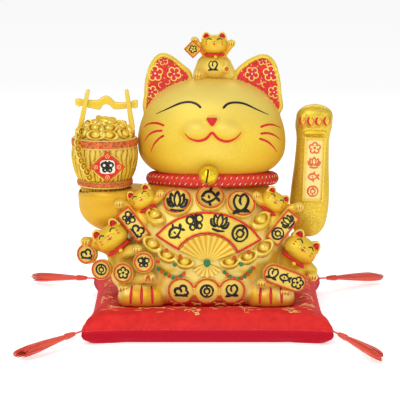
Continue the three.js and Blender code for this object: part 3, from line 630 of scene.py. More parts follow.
class Strokes:
    """Gathers painted lines, dots and patches of several materials into one raised piece."""

    def __init__(self):
        self.verts, self.faces, self.slots, self.materials = [], [], [], []

    def add(self, verts, faces, material):
        if material not in self.materials:
            self.materials.append(material)
        start = len(self.verts)
        self.verts += [tuple(v) for v in verts]
        self.faces += [tuple(start + i for i in face) for face in faces]
        self.slots += [self.materials.index(material)] * len(faces)

    def line(self, surface, points, width, material, thick=0.5, taper=(1, 1), closed=False, spacing=1.0):
        """A raised line through (x, z) points, `width` across, thinning by `taper` at its ends."""
        flat = np.asarray(points, dtype=float)
        length = np.linalg.norm(np.diff(flat, axis=0), axis=1).sum()
        count = max(5, int(length / spacing) + 1)
        path = closed_curve(flat, count) if closed else smooth_curve(flat, count)
        found = [surface.at((x, 0, z), thick * 0.15) for x, z in path]
        share = np.linspace(0, 1, count)
        swell = np.interp(share, (0, 0.5, 1), (taper[0], 1, taper[1]))
        if not closed:
            swell = swell * np.clip(np.minimum(share, 1 - share) * length / (width * 0.5) + 0.25, 0.25, 1)
        verts, faces = tube_mesh([f[0] for f in found], [f[1] for f in found], width / 2 * swell,
                                 thick * np.sqrt(swell), closed=closed)
        self.add(verts, faces, material)

    def dot(self, surface, at, radius, material, thick=0.6, squash=1.0, turn=0.0):
        """A low dome at (x, z), `squash` high for its width and turned by degrees."""
        centre, normal = surface.at((at[0], 0, at[1]))
        side = np.cross(normal, (0, 0, 1.0))
        side /= max(np.linalg.norm(side), 1e-9)
        up = np.cross(side, normal)
        c, s = cos_sin(turn)
        side, up = c * side + s * up, c * up - s * side
        rings, around = 3, 14
        verts = [centre + normal * thick]
        for ring in range(1, rings + 1):
            bend = math.pi / 2 * ring / rings
            for i in range(around):
                angle = 2 * math.pi * i / around
                flat = side * math.cos(angle) + up * math.sin(angle) * squash
                verts.append(centre + flat * radius * math.sin(bend)
                             + normal * (thick * math.cos(bend) - 0.1))
        faces = [(0, 1 + i, 1 + (i + 1) % around) for i in range(around)]
        for ring in range(rings - 1):
            a, b = 1 + ring * around, 1 + (ring + 1) * around
            faces += [(a + i, b + i, b + (i + 1) % around, a + (i + 1) % around) for i in range(around)]
        faces.append(tuple(1 + (rings - 1) * around + i for i in range(around))[::-1])
        self.add(verts, faces, material)

    def patch(self, surface, outline, material, lift=0.2, depth=0.8):
        """A thin plate filling an outline of (x, z) points, following the surface."""
        count = len(outline)
        middle = np.mean(outline, axis=0)
        rings = 6
        verts = [surface.at((middle[0], 0, middle[1]), lift)[0]]
        for ring in range(1, rings + 1):
            for x, z in middle + (np.asarray(outline) - middle) * ring / rings:
                verts.append(surface.at((x, 0, z), lift)[0])
        for x, z in outline:
            verts.append(surface.at((x, 0, z), lift - depth)[0])
        faces = [(0, 1 + i, 1 + (i + 1) % count) for i in range(count)]
        for ring in range(rings):
            a, b = 1 + ring * count, 1 + (ring + 1) * count
            faces += [(a + i, b + i, b + (i + 1) % count, a + (i + 1) % count) for i in range(count)]
        faces.append(tuple(1 + rings * count + i for i in range(count))[::-1])
        self.add(verts, faces, material)

    def piece(self, name):
        made = new_object(name, self.verts, self.faces, self.materials)
        set_slots(made, self.slots)
        return clean(made, weld=False)


MATERIALS = make_materials()
make_studio()


# ------------------------------------------------------------------ cords and tassels

TASSEL_START = 148.5  # each cord leaves its corner of the cushion here, from the middle
TASSEL_Z = 18
CORD_LENGTH = 50
CORD_SHOWN = 14  # the rest of the cord is inside the tassel's neck
CORD_RADIUS = 1.1
TASSEL_REACH = 109  # from the corner to the end of the skirt
TASSEL_END_Z = 9
SKIRT_START = 13  # from the top of the neck
SKIRT_LENGTH = 81
SKIRT_STRANDS = 76
TASSELS = {  # sides of the cushion, and the heading in degrees
    "front_left": (-1, -1, 227.4),
    "front_right": (1, -1, 300.5),
    "back_left": (-1, 1, 149),
    "back_right": (1, 1, 32),
}


def thread_material(name, colour, deep):
    """Rayon thread: fine lengthwise strands with a silky sheen."""
    material, nodes, links, shader = node_material(name)
    place = place_node(nodes, links)
    fine = noise_node(nodes, links, place, 1.4, 2.0, 0.7)
    links.new(ramp_node(nodes, links, fine, [(0.3, deep), (0.7, colour)]), shader.inputs["Base Color"])
    set_inputs(shader, Roughness=0.5, Sheen_Weight=0.5, Sheen_Roughness=0.35)
    bump_node(nodes, links, shader, fine, 0.3, 0.2)
    return material


def tassel_frame(name):
    """Start of the cord and the way it runs, sloping down to the surface."""
    side, end, heading = TASSELS[name]
    drop = math.asin((TASSEL_Z - TASSEL_END_Z) / TASSEL_REACH)
    c, s = cos_sin(heading)
    way = np.array((math.cos(drop) * c, math.cos(drop) * s, -math.sin(drop)))
    return np.array((side * TASSEL_START, end * TASSEL_START, TASSEL_Z)), way


def make_cord(name, material):
    start, way = tassel_frame(name)
    path = [start + way * CORD_LENGTH * share for share in np.linspace(0, 1, 15)]
    curve = bpy.data.curves.new("cord_" + name, "CURVE")
    curve.dimensions = "3D"
    curve.bevel_depth = CORD_RADIUS * MM
    curve.bevel_resolution = 3
    curve.use_fill_caps = True
    spline = curve.splines.new("POLY")
    spline.points.add(len(path) - 1)
    for point, place in zip(spline.points, path):
        point.co = (*(place * MM), 1)
    curve.materials.append(material)
    cord = bpy.data.objects.new("cord_" + name, curve)
    bpy.context.scene.collection.objects.link(cord)
    return settle(cord, ROOT, "tassel_thread", "tassel_cord_" + name)


def make_tassel(name, material, seed):
    """A neck wrapped in thread, its core, and a skirt of strands that widens towards its end."""
    rng = np.random.default_rng(seed)
    start, way = tassel_frame(name)
    across = np.cross(way, (0, 0, 1.0))
    across /= np.linalg.norm(across)
    up = np.cross(across, way)
    neck = start + way * CORD_SHOWN
    strokes = Strokes()
    turns = 9
    count = turns * 14
    share = np.linspace(0, 1, count)
    radius = 1.6 + 1.4 * share + 0.4 * np.sin(np.pi * share)
    angle = 2 * np.pi * turns * share
    wrap = (neck + way * (share * 15)[:, None] + across * (radius * np.cos(angle))[:, None]
            + up * (radius * np.sin(angle))[:, None])
    normals = across * np.cos(angle)[:, None] + up * np.sin(angle)[:, None]
    strokes.add(*tube_mesh(wrap, normals, 1.1, 1.0, 6), material)
    core_share = np.linspace(0, 1, 12)
    core = neck + way * (core_share * 22)[:, None]
    strokes.add(*tube_mesh(core, np.tile(up, (12, 1)), 1.2 + 2 * core_share, 1.2 + 2 * core_share, 10),
                material)
    for i in range(SKIRT_STRANDS):
        turn = 2 * np.pi * i / SKIRT_STRANDS * 3.618
        spread = math.sqrt(rng.uniform(0.05, 1))
        reach = rng.uniform(0.93, 1.0) * (0.93 + 0.07 * math.cos(turn))
        along = np.linspace(0, 1, 14)
        swell = 2.6 + 5.4 * spread * along ** 0.8
        swell *= 1 - 0.3 * (np.clip(along - 0.8, 0, 1) / 0.2) ** 1.5
        twist = turn + 0.35 * rng.standard_normal() * along
        side = across * (np.cos(twist) * swell * 1.12)[:, None] + up * (np.sin(twist) * swell * 0.8)[:, None]
        sag = np.array((0, 0, -1.2)) * (along ** 2)[:, None]
        wave = across * (np.sin(along * 7 + i) * 0.5 * along)[:, None]
        path = neck + way * (SKIRT_START + along * SKIRT_LENGTH * reach)[:, None] + side + sag + wave
        path[:, 2] = np.maximum(path[:, 2], 0.9)
        normal = across * math.cos(turn) + up * math.sin(turn)
        width = rng.uniform(0.9, 1.4) * np.interp(along, (0, 0.7, 1), (0.7, 1.2, 0.5))
        strokes.add(*tube_mesh(path, np.tile(normal, (14, 1)), width, width * 0.45, 5), material)
    return settle(strokes.piece("tassel_strands_" + name), ROOT, "tassel_thread", "tassel_" + name)


def make_tassels():
    """The four cords, each with its tassel."""
    thread = thread_material("tassel_rayon", (0.90, 0.10, 0.045), (0.64, 0.03, 0.016))
    for seed, name in enumerate(TASSELS):
        cord = make_cord(name, thread)
        tassel = make_tassel(name, thread, seed)


make_tassels()


# ------------------------------------------------------------------ main forms of the cat

BASE_Z = 34.3
NECK_Z = 186
BODY_OUTLINE = ((BASE_Z, 88, 90), (50, 97, 95), (80, 103, 98), (100, 103, 96), (120, 101, 90), (140, 95, 81),
                (160, 83, 68), (170, 74, 59), (177, 66, 51), (NECK_Z, 60, 47))
BODY_SQUARENESS = 2.5
BODY_BACK = 0.9
HEAD_X = 5.5
HEAD_OUTLINE = ((186.3, 62), (192, 76), (202, 86), (214, 91), (232, 91.5), (250, 87.5), (266, 80), (280, 70),
                (292, 54), (300, 35), (304, 15), (305, 3))
HEAD_DEPTH = 0.78
HEAD_SQUARENESS = 2.2
BODY_CURVE = smooth_curve(BODY_OUTLINE, 200)
HEAD_CURVE = smooth_curve(HEAD_OUTLINE, 200)


def column_at(curve, height, column):
    return np.interp(height, curve[:, 0], curve[:, column])


def barrel(points, centre_x, half_x, half_y, exponent):
    """Distance outwards to a form whose level sections are superellipses."""
    x, y = np.abs(points[..., 0] - centre_x), np.abs(points[..., 1])
    level = ((x / half_x) ** exponent + (y / half_y) ** exponent) ** (1 / exponent)
    return np.hypot(x, y) * (1 - 1 / np.maximum(level, 0.02))


def body_front(x, z):
    """The y of the body's front face at x and z."""
    half_x = column_at(BODY_CURVE, z, 1)
    share = np.minimum(0.999, np.abs(x) / half_x)
    return -column_at(BODY_CURVE, z, 2) * (1 - share ** BODY_SQUARENESS) ** (1 / BODY_SQUARENESS)


def lean_at(x, z, step=6):
    return math.degrees(math.atan2(body_front(x, z - step) - body_front(x, z + step), 2 * step))


def swing_at(x, z, step=4):
    return math.degrees(math.atan2(body_front(x + step, z) - body_front(x - step, z), 2 * step))


def placed(points, at, turn=(0, 0, 0)):
    return np.asarray(points) @ turn_matrix(turn).T + np.asarray(at, dtype=float)


def bedded(points, x, z, proud, roll=0):
    """Sets flat-backed points on the body's front, their face `proud` of it."""
    rolled = placed(points, (0, 0, 0), (0, roll, 0))
    return placed(rolled, (x, body_front(x, z) - proud, z), (lean_at(x, z), 0, swing_at(x, z)))


PAWS = {-1: -80, 1: 77}
ARM_POCKET = ((127, 0, 135), (30, 34, 42))  # middle and half sizes of the hollow that the waving arm turns in
POWER_RECESS = ((0, 89, 76), (42.3, 10, 23.3))
BUCKET_AT = (-126.4, -25, 163)
PALM_TOP = 170.5


def paw_field(points, x):
    """A front paw with four toes."""
    pad = ellipsoid(points, (x, -62, 40), (29.5, 34, 22))
    for offset, reach in ((-18, 0), (-6.3, 1.5), (6.3, 1.5), (18, 0)):
        toe = ellipsoid(points, (x + offset, -76 - reach, 41), (11, 18, 19.5))
        pad = smooth_min(pad, toe, 5)
    return pad


def body_field(points):
    """The body with its two front paws, a hollow for the waving arm and a recess in the back."""
    z = points[..., 2]
    half_y = column_at(BODY_CURVE, z, 2) * np.where(points[..., 1] > 0, BODY_BACK, 1)
    form = barrel(points, 0, column_at(BODY_CURVE, z, 1), half_y, BODY_SQUARENESS)
    for x in PAWS.values():
        form = smooth_min(form, paw_field(points, x), 6)
    form = smooth_max(form, BASE_Z - z, 3)
    form = smooth_max(form, z - NECK_Z, 2)
    pocket = ellipsoid(points, *ARM_POCKET)
    recess = rounded_box(points, *POWER_RECESS, 0.6)
    return np.maximum(np.maximum(form, -pocket), -recess)


EARS = {
    -1: [(-77.5, 262), (-78.2, 284), (-76.5, 303), (-71, 320), (-62, 331.5), (-53, 334), (-43, 330),
         (-31, 320.5), (-19, 308), (-22, 285), (-45, 262)],
    1: [(91.5, 262), (92, 284), (90, 303), (85.5, 320), (77, 330.5), (68, 332.5), (58, 329.5), (46, 322.5),
        (33, 308.5), (34, 285), (58, 262)],
}
EAR_FRONT = -7
EAR_BACK = 13
EAR_RIM = 4.2
EAR_OUTLINES = {side: [tuple(p) for p in closed_curve(points, 60)] for side, points in EARS.items()}


def ear_fold(side):
    """The crease down an ear's front: where it starts at the tip and where it ends."""
    return ((-47, 328), (-54, 285)) if side < 0 else ((62, 328), (69, 285))


def ear_field(points, side):
    x, y, z = points[..., 0], points[..., 1], points[..., 2]
    flat = polygon_distance(x, z, EAR_OUTLINES[side])
    half = (EAR_BACK - EAR_FRONT) / 2 * np.interp(z, (270, 335), (1.0, 0.62))
    middle = (EAR_BACK + EAR_FRONT) / 2 + np.interp(z, (270, 335), (0, 2))
    plate = smooth_max(flat, np.abs(y - middle) - half, 5)
    (x0, z0), (x1, z1) = ear_fold(side)
    crease = x0 + (x1 - x0) * (z0 - z) / (z0 - z1)
    depth = 2.2 + 3.4 * np.exp(-((x - crease) / 9) ** 2)
    dish = smooth_max(flat + EAR_RIM, y - (middle - half + depth), 1.5)
    return smooth_max(plate, -dish, 0.8)


PUFFS = (-11, 22)
CHIN = ((HEAD_X, -50, 221), (34, 20, 14))
NOSE = ((HEAD_X, -66, 259), (6.5, 5, 4.5))
BELL_RADIUS = 11.7
BELL_ROOM = 1.6


def bell_centre():
    """The bell keeps to the front and top of its CAD box."""
    low, high = np.array(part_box("bell_shell")) / MM
    return np.array(((low[0] + high[0]) / 2, low[1] + BELL_RADIUS, high[2] - BELL_RADIUS))


def muzzle_puff(points, x):
    return ellipsoid(points, (x, -54.2, 247), (20, 18.5, 14))


def head_field(points):
    """The head with muzzle, chin, nose and ears, dented where the bell swings."""
    z = points[..., 2]
    half = column_at(HEAD_CURVE, z, 1)
    form = barrel(points, HEAD_X, half, half * HEAD_DEPTH, HEAD_SQUARENESS)
    form = smooth_max(form, z - 304.6, 6)
    form = smooth_max(form, 186.6 - z, 2)
    for x in PUFFS:
        form = smooth_min(form, muzzle_puff(points, x), 5)
    form = smooth_min(form, ellipsoid(points, *CHIN), 12)
    form = smooth_min(form, ellipsoid(points, *NOSE), 5)
    for side in (-1, 1):
        form = smooth_min(form, ear_field(points, side), 7)
    bell = np.linalg.norm(points - bell_centre().astype(np.float32), axis=-1)
    return smooth_max(form, BELL_RADIUS + BELL_ROOM - bell, 0.8)


def palm_field(points):
    """The arm on the left: a fat forearm bent up into an open palm, hollowed for the bucket's foot."""
    x, y, z = points[..., 0], points[..., 1], points[..., 2]
    arm = ellipsoid(points, (-109, -20, 148), (50, 38, 35))
    arm = smooth_min(arm, round_cone(points, (-70, -14, 142), (-112, -20, 148), 30, 30), 10)
    arm = smooth_min(arm, ellipsoid(points, (-122.5, -24, 163), (36.5, 38.5, 18)), 9)
    foot = np.maximum(np.hypot(x - BUCKET_AT[0], y - BUCKET_AT[1]) - 31.4, BUCKET_AT[2] - 0.3 - z)
    arm = smooth_max(smooth_max(arm, z - PALM_TOP, 1.5), -foot, 0.8)
    inside = barrel(points, 0, column_at(BODY_CURVE, z, 1) + 0.3, column_at(BODY_CURVE, z, 2) + 0.3,
                    BODY_SQUARENESS)
    return np.maximum(arm, -inside)


def cast(name, field, box, step, material, slot, node):
    """Sculpts a casting of the figurine."""
    return settle(sculpt(name, field, box, step, MATERIALS[material]), ROOT, slot, node)


def power_pocket(points):
    """The opening in the back that the power unit fills; its edge is hidden under the unit's own rim."""
    low, high = np.array(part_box("power_unit_housing")) / MM
    low, high = low + (1.6, -1.5, 1.6), high + (-1.6, 12, -1.6)
    return rounded_box(points, (low + high) / 2, (high - low) / 2, 0.5)


def hollow_body_field(points):
    return np.maximum(body_field(points), -power_pocket(points))


body = cast("body_casting", hollow_body_field, ((-112, -104, 31), (112, 93, 190)), 1.5, "gold", "gold_glaze",
            "body_shell")
head = cast("head_casting", head_field, ((-92, -78, 184), (103, 76, 339)), 1.3, "pearl", "pearl_gold",
            "head_shell")
palm = cast("palm_arm", palm_field, ((-166, -67, 108), (-50, 26, 175)), 1.3, "gold", "gold_glaze",
            "bucket_arm")


# --------------------------------------------------------------- ornaments: generic motifs drawn with a brush

def arc(x, z, radius, start, end, squash=1.0, count=9):
    """Points along an arc between two angles in degrees."""
    angles = np.radians(np.linspace(start, end, count))
    return [(x + radius * math.cos(a), z + squash * radius * math.sin(a)) for a in angles]


# Each motif fits a unit square. A stroke is (points, width, closed).
def blossom():
    """Five petals round a dot."""
    petals = []
    for a in (math.pi / 2 + k * 2 * math.pi / 5 for k in range(5)):
        petal = arc(0.25 * math.cos(a), 0.25 * math.sin(a), 0.17, math.degrees(a) - 135,
                    math.degrees(a) + 135)
        petals.append((petal, 0.1, False))
    return petals + [(arc(0, 0, 0.05, 0, 300), 0.12, True)]


def cloud():
    """Three curls over a flat foot."""
    return [(arc(-0.2, -0.05, 0.2, -20, 280), 0.13, False), (arc(0.12, 0.14, 0.2, -40, 235), 0.12, False),
            (arc(0.28, -0.12, 0.13, -150, 120), 0.11, False),
            ([(-0.42, -0.34), (0, -0.3), (0.42, -0.36)], 0.12, False)]


def fish():
    """A leaping fish: back, belly, tail, fin and eye."""
    body = [([(-0.42, -0.02), (-0.2, 0.2), (0.08, 0.2), (0.3, -0.02)], 0.12, False),
            ([(-0.42, -0.04), (-0.16, -0.2), (0.1, -0.14), (0.3, 0.0)], 0.11, False)]
    tail = [([(0.28, 0.0), (0.42, 0.24)], 0.14, False), ([(0.28, 0.0), (0.46, -0.2)], 0.12, False)]
    return body + tail + [([(-0.04, 0.2), (0.1, 0.42)], 0.1, False),
                          ([(-0.06, -0.2), (0.04, -0.38)], 0.1, False),
                          ([(-0.26, 0.04), (-0.22, 0.04)], 0.11, False),
                          ([(-0.08, 0.08), (-0.04, -0.08)], 0.08, False)]


def butterfly():
    """Two pairs of wings, a body and two feelers."""
    wings = [(arc(0.24 * s, 0.14, 0.17, 0, 330, 1.0), 0.1, True) for s in (-1, 1)]
    wings += [(arc(0.18 * s, -0.2, 0.12, 0, 330, 1.1), 0.1, True) for s in (-1, 1)]
    feelers = [([(0.02 * s, 0.22), (0.08 * s, 0.36), (0.2 * s, 0.44)], 0.07, False) for s in (-1, 1)]
    return wings + feelers + [([(0, 0.24), (0.01, 0), (0, -0.34)], 0.13, False)]


def lotus():
    """An open lotus: a middle petal, two pairs at its sides and the water below."""
    petals = [([(0, -0.22), (0.14, 0.06), (0, 0.4), (-0.14, 0.06)], 0.09, True)]
    for s in (-1, 1):
        petals.append(([(0.08 * s, -0.22), (0.3 * s, -0.02), (0.3 * s, 0.3), (0.16 * s, 0.16)], 0.1, False))
        petals.append(([(0.12 * s, -0.24), (0.36 * s, -0.18), (0.46 * s, 0.06), (0.36 * s, 0.08)], 0.11,
                       False))
    return petals + [([(-0.34, -0.36), (0, -0.4), (0.34, -0.35)], 0.11, False)]


def peach():
    """A peach with its crease between two leaves."""
    skin = [(-0.02, 0.3), (0.18, 0.38), (0.34, 0.14), (0.22, -0.16), (0.0, -0.3), (-0.24, -0.16),
            (-0.34, 0.12), (-0.2, 0.36)]
    return [(skin, 0.11, True), ([(0.0, 0.28), (-0.06, 0.1), (0.02, -0.08)], 0.1, False),
            ([(-0.04, -0.34), (-0.24, -0.32), (-0.42, -0.4)], 0.15, False),
            ([(0.04, -0.34), (0.24, -0.3), (0.42, -0.38)], 0.15, False)]


def cash():
    """A round coin with a square hole."""
    return [(arc(0, 0, 0.38, 0, 330, 1, 16), 0.11, True),
            ([(-0.13, -0.13), (-0.13, 0.13), (0.13, 0.13), (0.13, -0.13)], 0.1, True),
            ([(0, 0.2), (0, 0.34)], 0.1, False), ([(0, -0.2), (0, -0.34)], 0.1, False)]


def draw_motif(strokes, surface, motif, at, size, material, turn=0.0, thick=0.7, weight=1.0):
    """Paints a motif centred on (x, z), turned by degrees, as low raised strokes."""
    c, s = cos_sin(turn)
    for points, width, closed in motif():
        moved = [(at[0] + size * (x * c + z * s), at[1] + size * (z * c - x * s)) for x, z in points]
        strokes.line(surface, moved, 1.3 * width * size * weight, material, thick, (0.8, 0.55), closed, 0.8)


# ------------------------------------------------------------------ reliefs

def lathe_mesh(profile, sides):
    """Verts, quads and the profile segment of each quad, turned about Z."""
    angles = angles_round(sides)
    rows = np.array([(radius * np.cos(angles), radius * np.sin(angles), np.full(sides, height))
                     for radius, height in profile])
    verts = rows.transpose(0, 2, 1).reshape(-1, 3)
    faces, segments = [], []
    for i in range(len(profile) - 1):
        faces += band_faces(i * sides, (i + 1) * sides, sides)
        segments += [i] * sides
    return verts, faces, segments


def coin_piece(name, radius, depth, place):
    """A coin facing -Y: gold rim, red ring, dished hammered face. `place` puts its points in the frame."""
    profile = [(0, -depth), (radius * 0.97, -depth), (radius, -depth + 0.6), (radius, 0.2), (radius, 0.8),
               (radius - 0.3, 1.2), (radius - 0.7, 1.3), (radius - 0.9, 1.7), (radius - 2.5, 1.7),
               (radius - 2.7, 1.2), (radius - 3.3, 0.35), (radius * 0.6, 0.2), (radius * 0.3, 0.3), (0, 0.35)]
    verts, faces, segments = lathe_mesh(profile, 56)
    verts = verts @ turn_matrix((90, 0, 0)).T
    tones = [MATERIALS["relief"], MATERIALS["red"], MATERIALS["coin_face"]]
    made = new_object(name, place(verts), faces, tones)
    set_slots(made, [1 if 6 <= i <= 8 else 2 if i > 8 else 0 for i in segments])
    return clean(made)


LARGE_COIN_RADIUS = 18.3
SMALL_COIN_RADIUS = 12.7
LARGE_COINS = {"left": (-36.7, 161), "centre": (3.4, 165.9), "right": (41, 158)}
SMALL_COINS = ((-148.5, -55, 92.4, -20), (-129.8, -69, 75.8, -16), (-102.4, -88, 75.6, -10),
               (-77.1, -97, 90.5, -6))


def make_coins():
    """Three large coins under the collar and the four that the lower left cat holds."""
    coins = []
    for name, (x, z) in LARGE_COINS.items():
        coin = coin_piece("coin_large_" + name + "_face", LARGE_COIN_RADIUS, 11,
                          lambda v, x=x, z=z: bedded(v, x, z, 6))
        settle(coin, ROOT, "gold_glaze", "coin_large_" + name)
        coins.append(coin)
    for i, (x, y, z, swing) in enumerate(SMALL_COINS):
        at, turn = (x, y, z), (-8, 0, swing)
        coin = coin_piece(f"coin_small_{i + 1}_face", SMALL_COIN_RADIUS, 7.5,
                          lambda v, at=at, turn=turn: placed(v, at, turn))
        settle(coin, ROOT, "gold_glaze", f"coin_small_{i + 1}")
        coins.append(coin)
    return coins


def rounded_rectangle(width, height, radius):
    corners = []
    for sx, sz, start in ((1, 1, 0), (-1, 1, 90), (-1, -1, 180), (1, -1, 270)):
        corners += arc(sx * (width / 2 - radius), sz * (height / 2 - radius), radius, start, start + 90, 1, 5)
    return corners


def inset(outline, depth):
    """The closed outline moved inwards (outlines run anticlockwise)."""
    points = np.asarray(outline, dtype=float)
    way = of_length_one(np.roll(points, -1, axis=0) - np.roll(points, 1, axis=0))
    return points + np.stack((-way[:, 1], way[:, 0]), axis=1) * depth


def plate_field(outline, thickness, rim=2.4, recess=0.9):
    """A plate facing -Y in its own axes: rounded rim, face set back."""
    outline = [tuple(p) for p in outline]

    def field(points):
        flat = polygon_distance(points[..., 0], points[..., 2], outline)
        slab = smooth_max(flat, np.abs(points[..., 1]) - thickness / 2, 1.4)
        dish = smooth_max(flat + rim, points[..., 1] - (-thickness / 2 + recess), 0.5)
        return smooth_max(slab, -dish, 0.4)

    return field


def sign_piece(name, outline, thickness, at, turn, step=0.7, tones=None):
    """A framed sign placed in the frame, its rim and face in two finishes. Returns the piece and the sign's
    plane.
    """
    reach = np.abs(np.asarray(outline)).max(axis=0) + 1.5
    box = ((-reach[0], -thickness / 2 - 1.5, -reach[1]), (reach[0], thickness / 2 + 1.5, reach[1]))
    face = tones or (MATERIALS["relief"], MATERIALS["coin_face"])
    made = sculpt(name, plate_field(outline, thickness), box, step, list(face))
    flat = points_of(made)
    edge = polygon_distance(flat[:, 0], flat[:, 2], [tuple(p) for p in outline])
    inner = (edge < -2.2) & (flat[:, 1] < 0)
    set_slots(made, inner_slots(made, inner))
    matrix = turn_matrix(turn)
    moved = (flat @ matrix.T + np.asarray(at, dtype=float)) * MM
    made.data.vertices.foreach_set("co", moved.astype(np.float32).ravel())
    made.data.update()
    plane = Plane(np.asarray(at) + matrix @ np.array((0, -thickness / 2, 0)), turn)
    return made, plane


def make_plaques():
    """The two upper signs and the oval sign, each with its red line and black ornaments."""
    strokes = Strokes()
    made = []
    signs = {  # width, height, corner; thickness; place; roll and swing; motifs and their size
        "plaque_left": ((44.5, 21, 1.2), 8, (-89.6, -68, 132.4), (51, -10), (butterfly, cloud), 18.5),
        "plaque_right": ((44.5, 21.5, 1.2), 8, (91.2, -69, 128.6), (-50, 10), (cash, lotus), 18.5),
        "oval_plaque": ((56, 25, 12), 7, (93.8, -90, 70), (22, 8), (peach, fish, blossom), 17.5),
    }
    for name, (frame_size, thickness, at, (roll, swing), motifs, size) in signs.items():
        outline = rounded_rectangle(*frame_size)
        sign, plane = sign_piece(name + "_sign", outline, thickness, at, (0, roll, swing))
        settle(sign, ROOT, "pale_gold", name)
        strokes.line(plane, straightened(inset(outline, 1.4)), 2.4, MATERIALS["red"], 0.7, closed=True)
        width = outline[0][0] * 2
        pitch = (width - 7) / len(motifs)
        for i, motif in enumerate(motifs):
            across = (i - (len(motifs) - 1) / 2) * pitch
            draw_motif(strokes, Lifted(plane, -0.75), motif, (across, 0), size, MATERIALS["black"])
        made.append(sign)
    return made, strokes


class Lifted:
    """A surface moved along its normals."""

    def __init__(self, surface, lift):
        self.surface, self.rise = surface, lift

    def at(self, point, lift=0.0):
        return self.surface.at(point, lift + self.rise)


FAN = {"x": -0.5, "z": 90.5, "inner": 38, "outer": 73, "squash": 0.88, "tail": 21, "rivet": 4.3}
LEAF_ARCS = (arc(FAN["x"], FAN["z"], FAN["outer"], 24, 150, 0.818, 24),
             arc(FAN["x"], FAN["z"], FAN["inner"], 155, 18, 0.88, 24))


def fan_outline(inner, outer, start, end, count=24):
    rim = arc(FAN["x"], FAN["z"], outer, start, end, FAN["squash"], count)
    return rim + arc(FAN["x"], FAN["z"], inner, end, start, FAN["squash"], count)


def fan_polar(points):
    x, z = points[..., 0] - FAN["x"], (points[..., 2] - FAN["z"]) / FAN["squash"]
    return np.hypot(x, z), np.degrees(np.arctan2(z, x)) % 360


def leaf_field(points):
    flat = polygon_distance(points[..., 0], points[..., 2], LEAF_ARCS[0] + LEAF_ARCS[1])
    _, angle = fan_polar(points)
    fold = 0.5 * np.abs((angle - 20) / 134 * 10 % 1 - 0.5)
    out = points[..., 1] - body_front(points[..., 0], points[..., 2])
    face = np.maximum(-(out + 5 + np.where(flat < -2.4, -0.8 - fold, 0)), out - 4)
    return smooth_max(flat, face, 1.0)


def pleats_at(angle):
    """0 to 1 across each of the fan's 11 sticks."""
    return np.abs(((angle - 18) / 138 * 11) % 1 - 0.5) * 2


def ribs_at(angle):
    """0 to 1 across each of the 7 ribs of the fan's tail."""
    return np.abs(((angle - 205) / 130 * 7) % 1 - 0.5) * 2


def sticks_field(points):
    radius, angle = fan_polar(points)
    out = points[..., 1] - body_front(points[..., 0], points[..., 2])
    pleats, ribs = pleats_at(angle), ribs_at(angle)
    upper = polygon_distance(points[..., 0], points[..., 2], fan_outline(5, FAN["inner"] - 0.8, 18, 156))
    upper = smooth_max(upper, -(out + 2.0 + 2.4 * (1 - pleats) * np.clip(radius / 38, 0.25, 1)), 0.6)
    scallop = FAN["tail"] * (1 - 0.09 * ribs)
    lower = polygon_distance(points[..., 0], points[..., 2], fan_outline(3, 26, 205, 335))
    lower = np.maximum(radius - scallop, lower)
    lower = smooth_max(lower, -(out + 2.4 + 1.6 * (1 - ribs)), 0.6)
    return np.maximum(np.minimum(upper, lower), out - 3)


def make_fan():
    """The leaf, the pleated sticks with their tail, and the rivet's bead."""
    leaf = sculpt("fan_leaf_panel", leaf_field, ((-72, -106, 98), (70, -64, 153)), 0.8,
                  [MATERIALS["coin_face"]])
    settle(leaf, ROOT, "gold_glaze", "fan_leaf")
    sticks = sculpt("fan_pleats", sticks_field, ((-40, -106, 70), (39, -80, 126)), 0.7, [MATERIALS["relief"]])
    settle(sticks, ROOT, "gold_glaze", "fan_sticks")
    paint_fold_shade(sticks)
    bead = ball_mesh((FAN["x"], float(body_front(FAN["x"], FAN["z"])) - 5, FAN["z"]), FAN["rivet"], 20)
    rivet = new_object("fan_bead", *bead, MATERIALS["green"])
    settle(rivet, ROOT, "green_glaze", "fan_rivet")
    return leaf, sticks


def paint_fold_shade(sticks):
    """Painted shade in the folds of the fan and painted highlights along their ridges."""
    _, angle = fan_polar(points_of(sticks))
    tail = (angle > 200) & (angle < 340)
    pleats, ribs = pleats_at(angle), ribs_at(angle)
    paint(sticks, pale=np.where(tail, 0.95 * (1 - ribs), 0.45 * (1 - pleats)),
          amber=np.where(tail, 0.7 * ribs ** 3, 0.85 * pleats ** 2.5))


def ball_mesh(centre, radius, sides=12):
    verts, faces = [], []
    rings = sides // 2
    for i in range(rings + 1):
        bend = math.pi * i / rings
        for j in range(sides):
            turn = 2 * math.pi * j / sides
            verts.append((centre[0] + radius * math.sin(bend) * math.cos(turn),
                          centre[1] + radius * math.sin(bend) * math.sin(turn),
                          centre[2] - radius * math.cos(bend)))
    for i in range(rings):
        faces += band_faces(i * sides, (i + 1) * sides, sides)
    return verts, faces


LOBES = (-31.7, -0.6, 29.6)
LOBE_Z = 55.6


def make_triple_plaque():
    """Three round lobes side by side, low on the front."""

    def flat_distance(x, z):
        return np.minimum.reduce([np.hypot(x - middle, z) for middle in LOBES]) - 17

    def field(points):
        flat = flat_distance(points[..., 0], points[..., 2] - LOBE_Z)
        out = points[..., 1] - body_front(points[..., 0], points[..., 2])
        face = -(out + 5 + np.where(flat < -2.4, -0.9, 0))
        return np.maximum(smooth_max(flat, face, 1.0), out - 3)

    plaque = sculpt("triple_coin_sign", field, ((-51, -108, 36), (49, -80, 75)), 0.75,
                    [MATERIALS["relief"], MATERIALS["coin_face"]])
    points = points_of(plaque)
    inner = flat_distance(points[:, 0], points[:, 2] - LOBE_Z) < -2.2
    set_slots(plaque, inner_slots(plaque, inner))
    settle(plaque, ROOT, "pale_gold", "triple_coin_plaque")
    return plaque


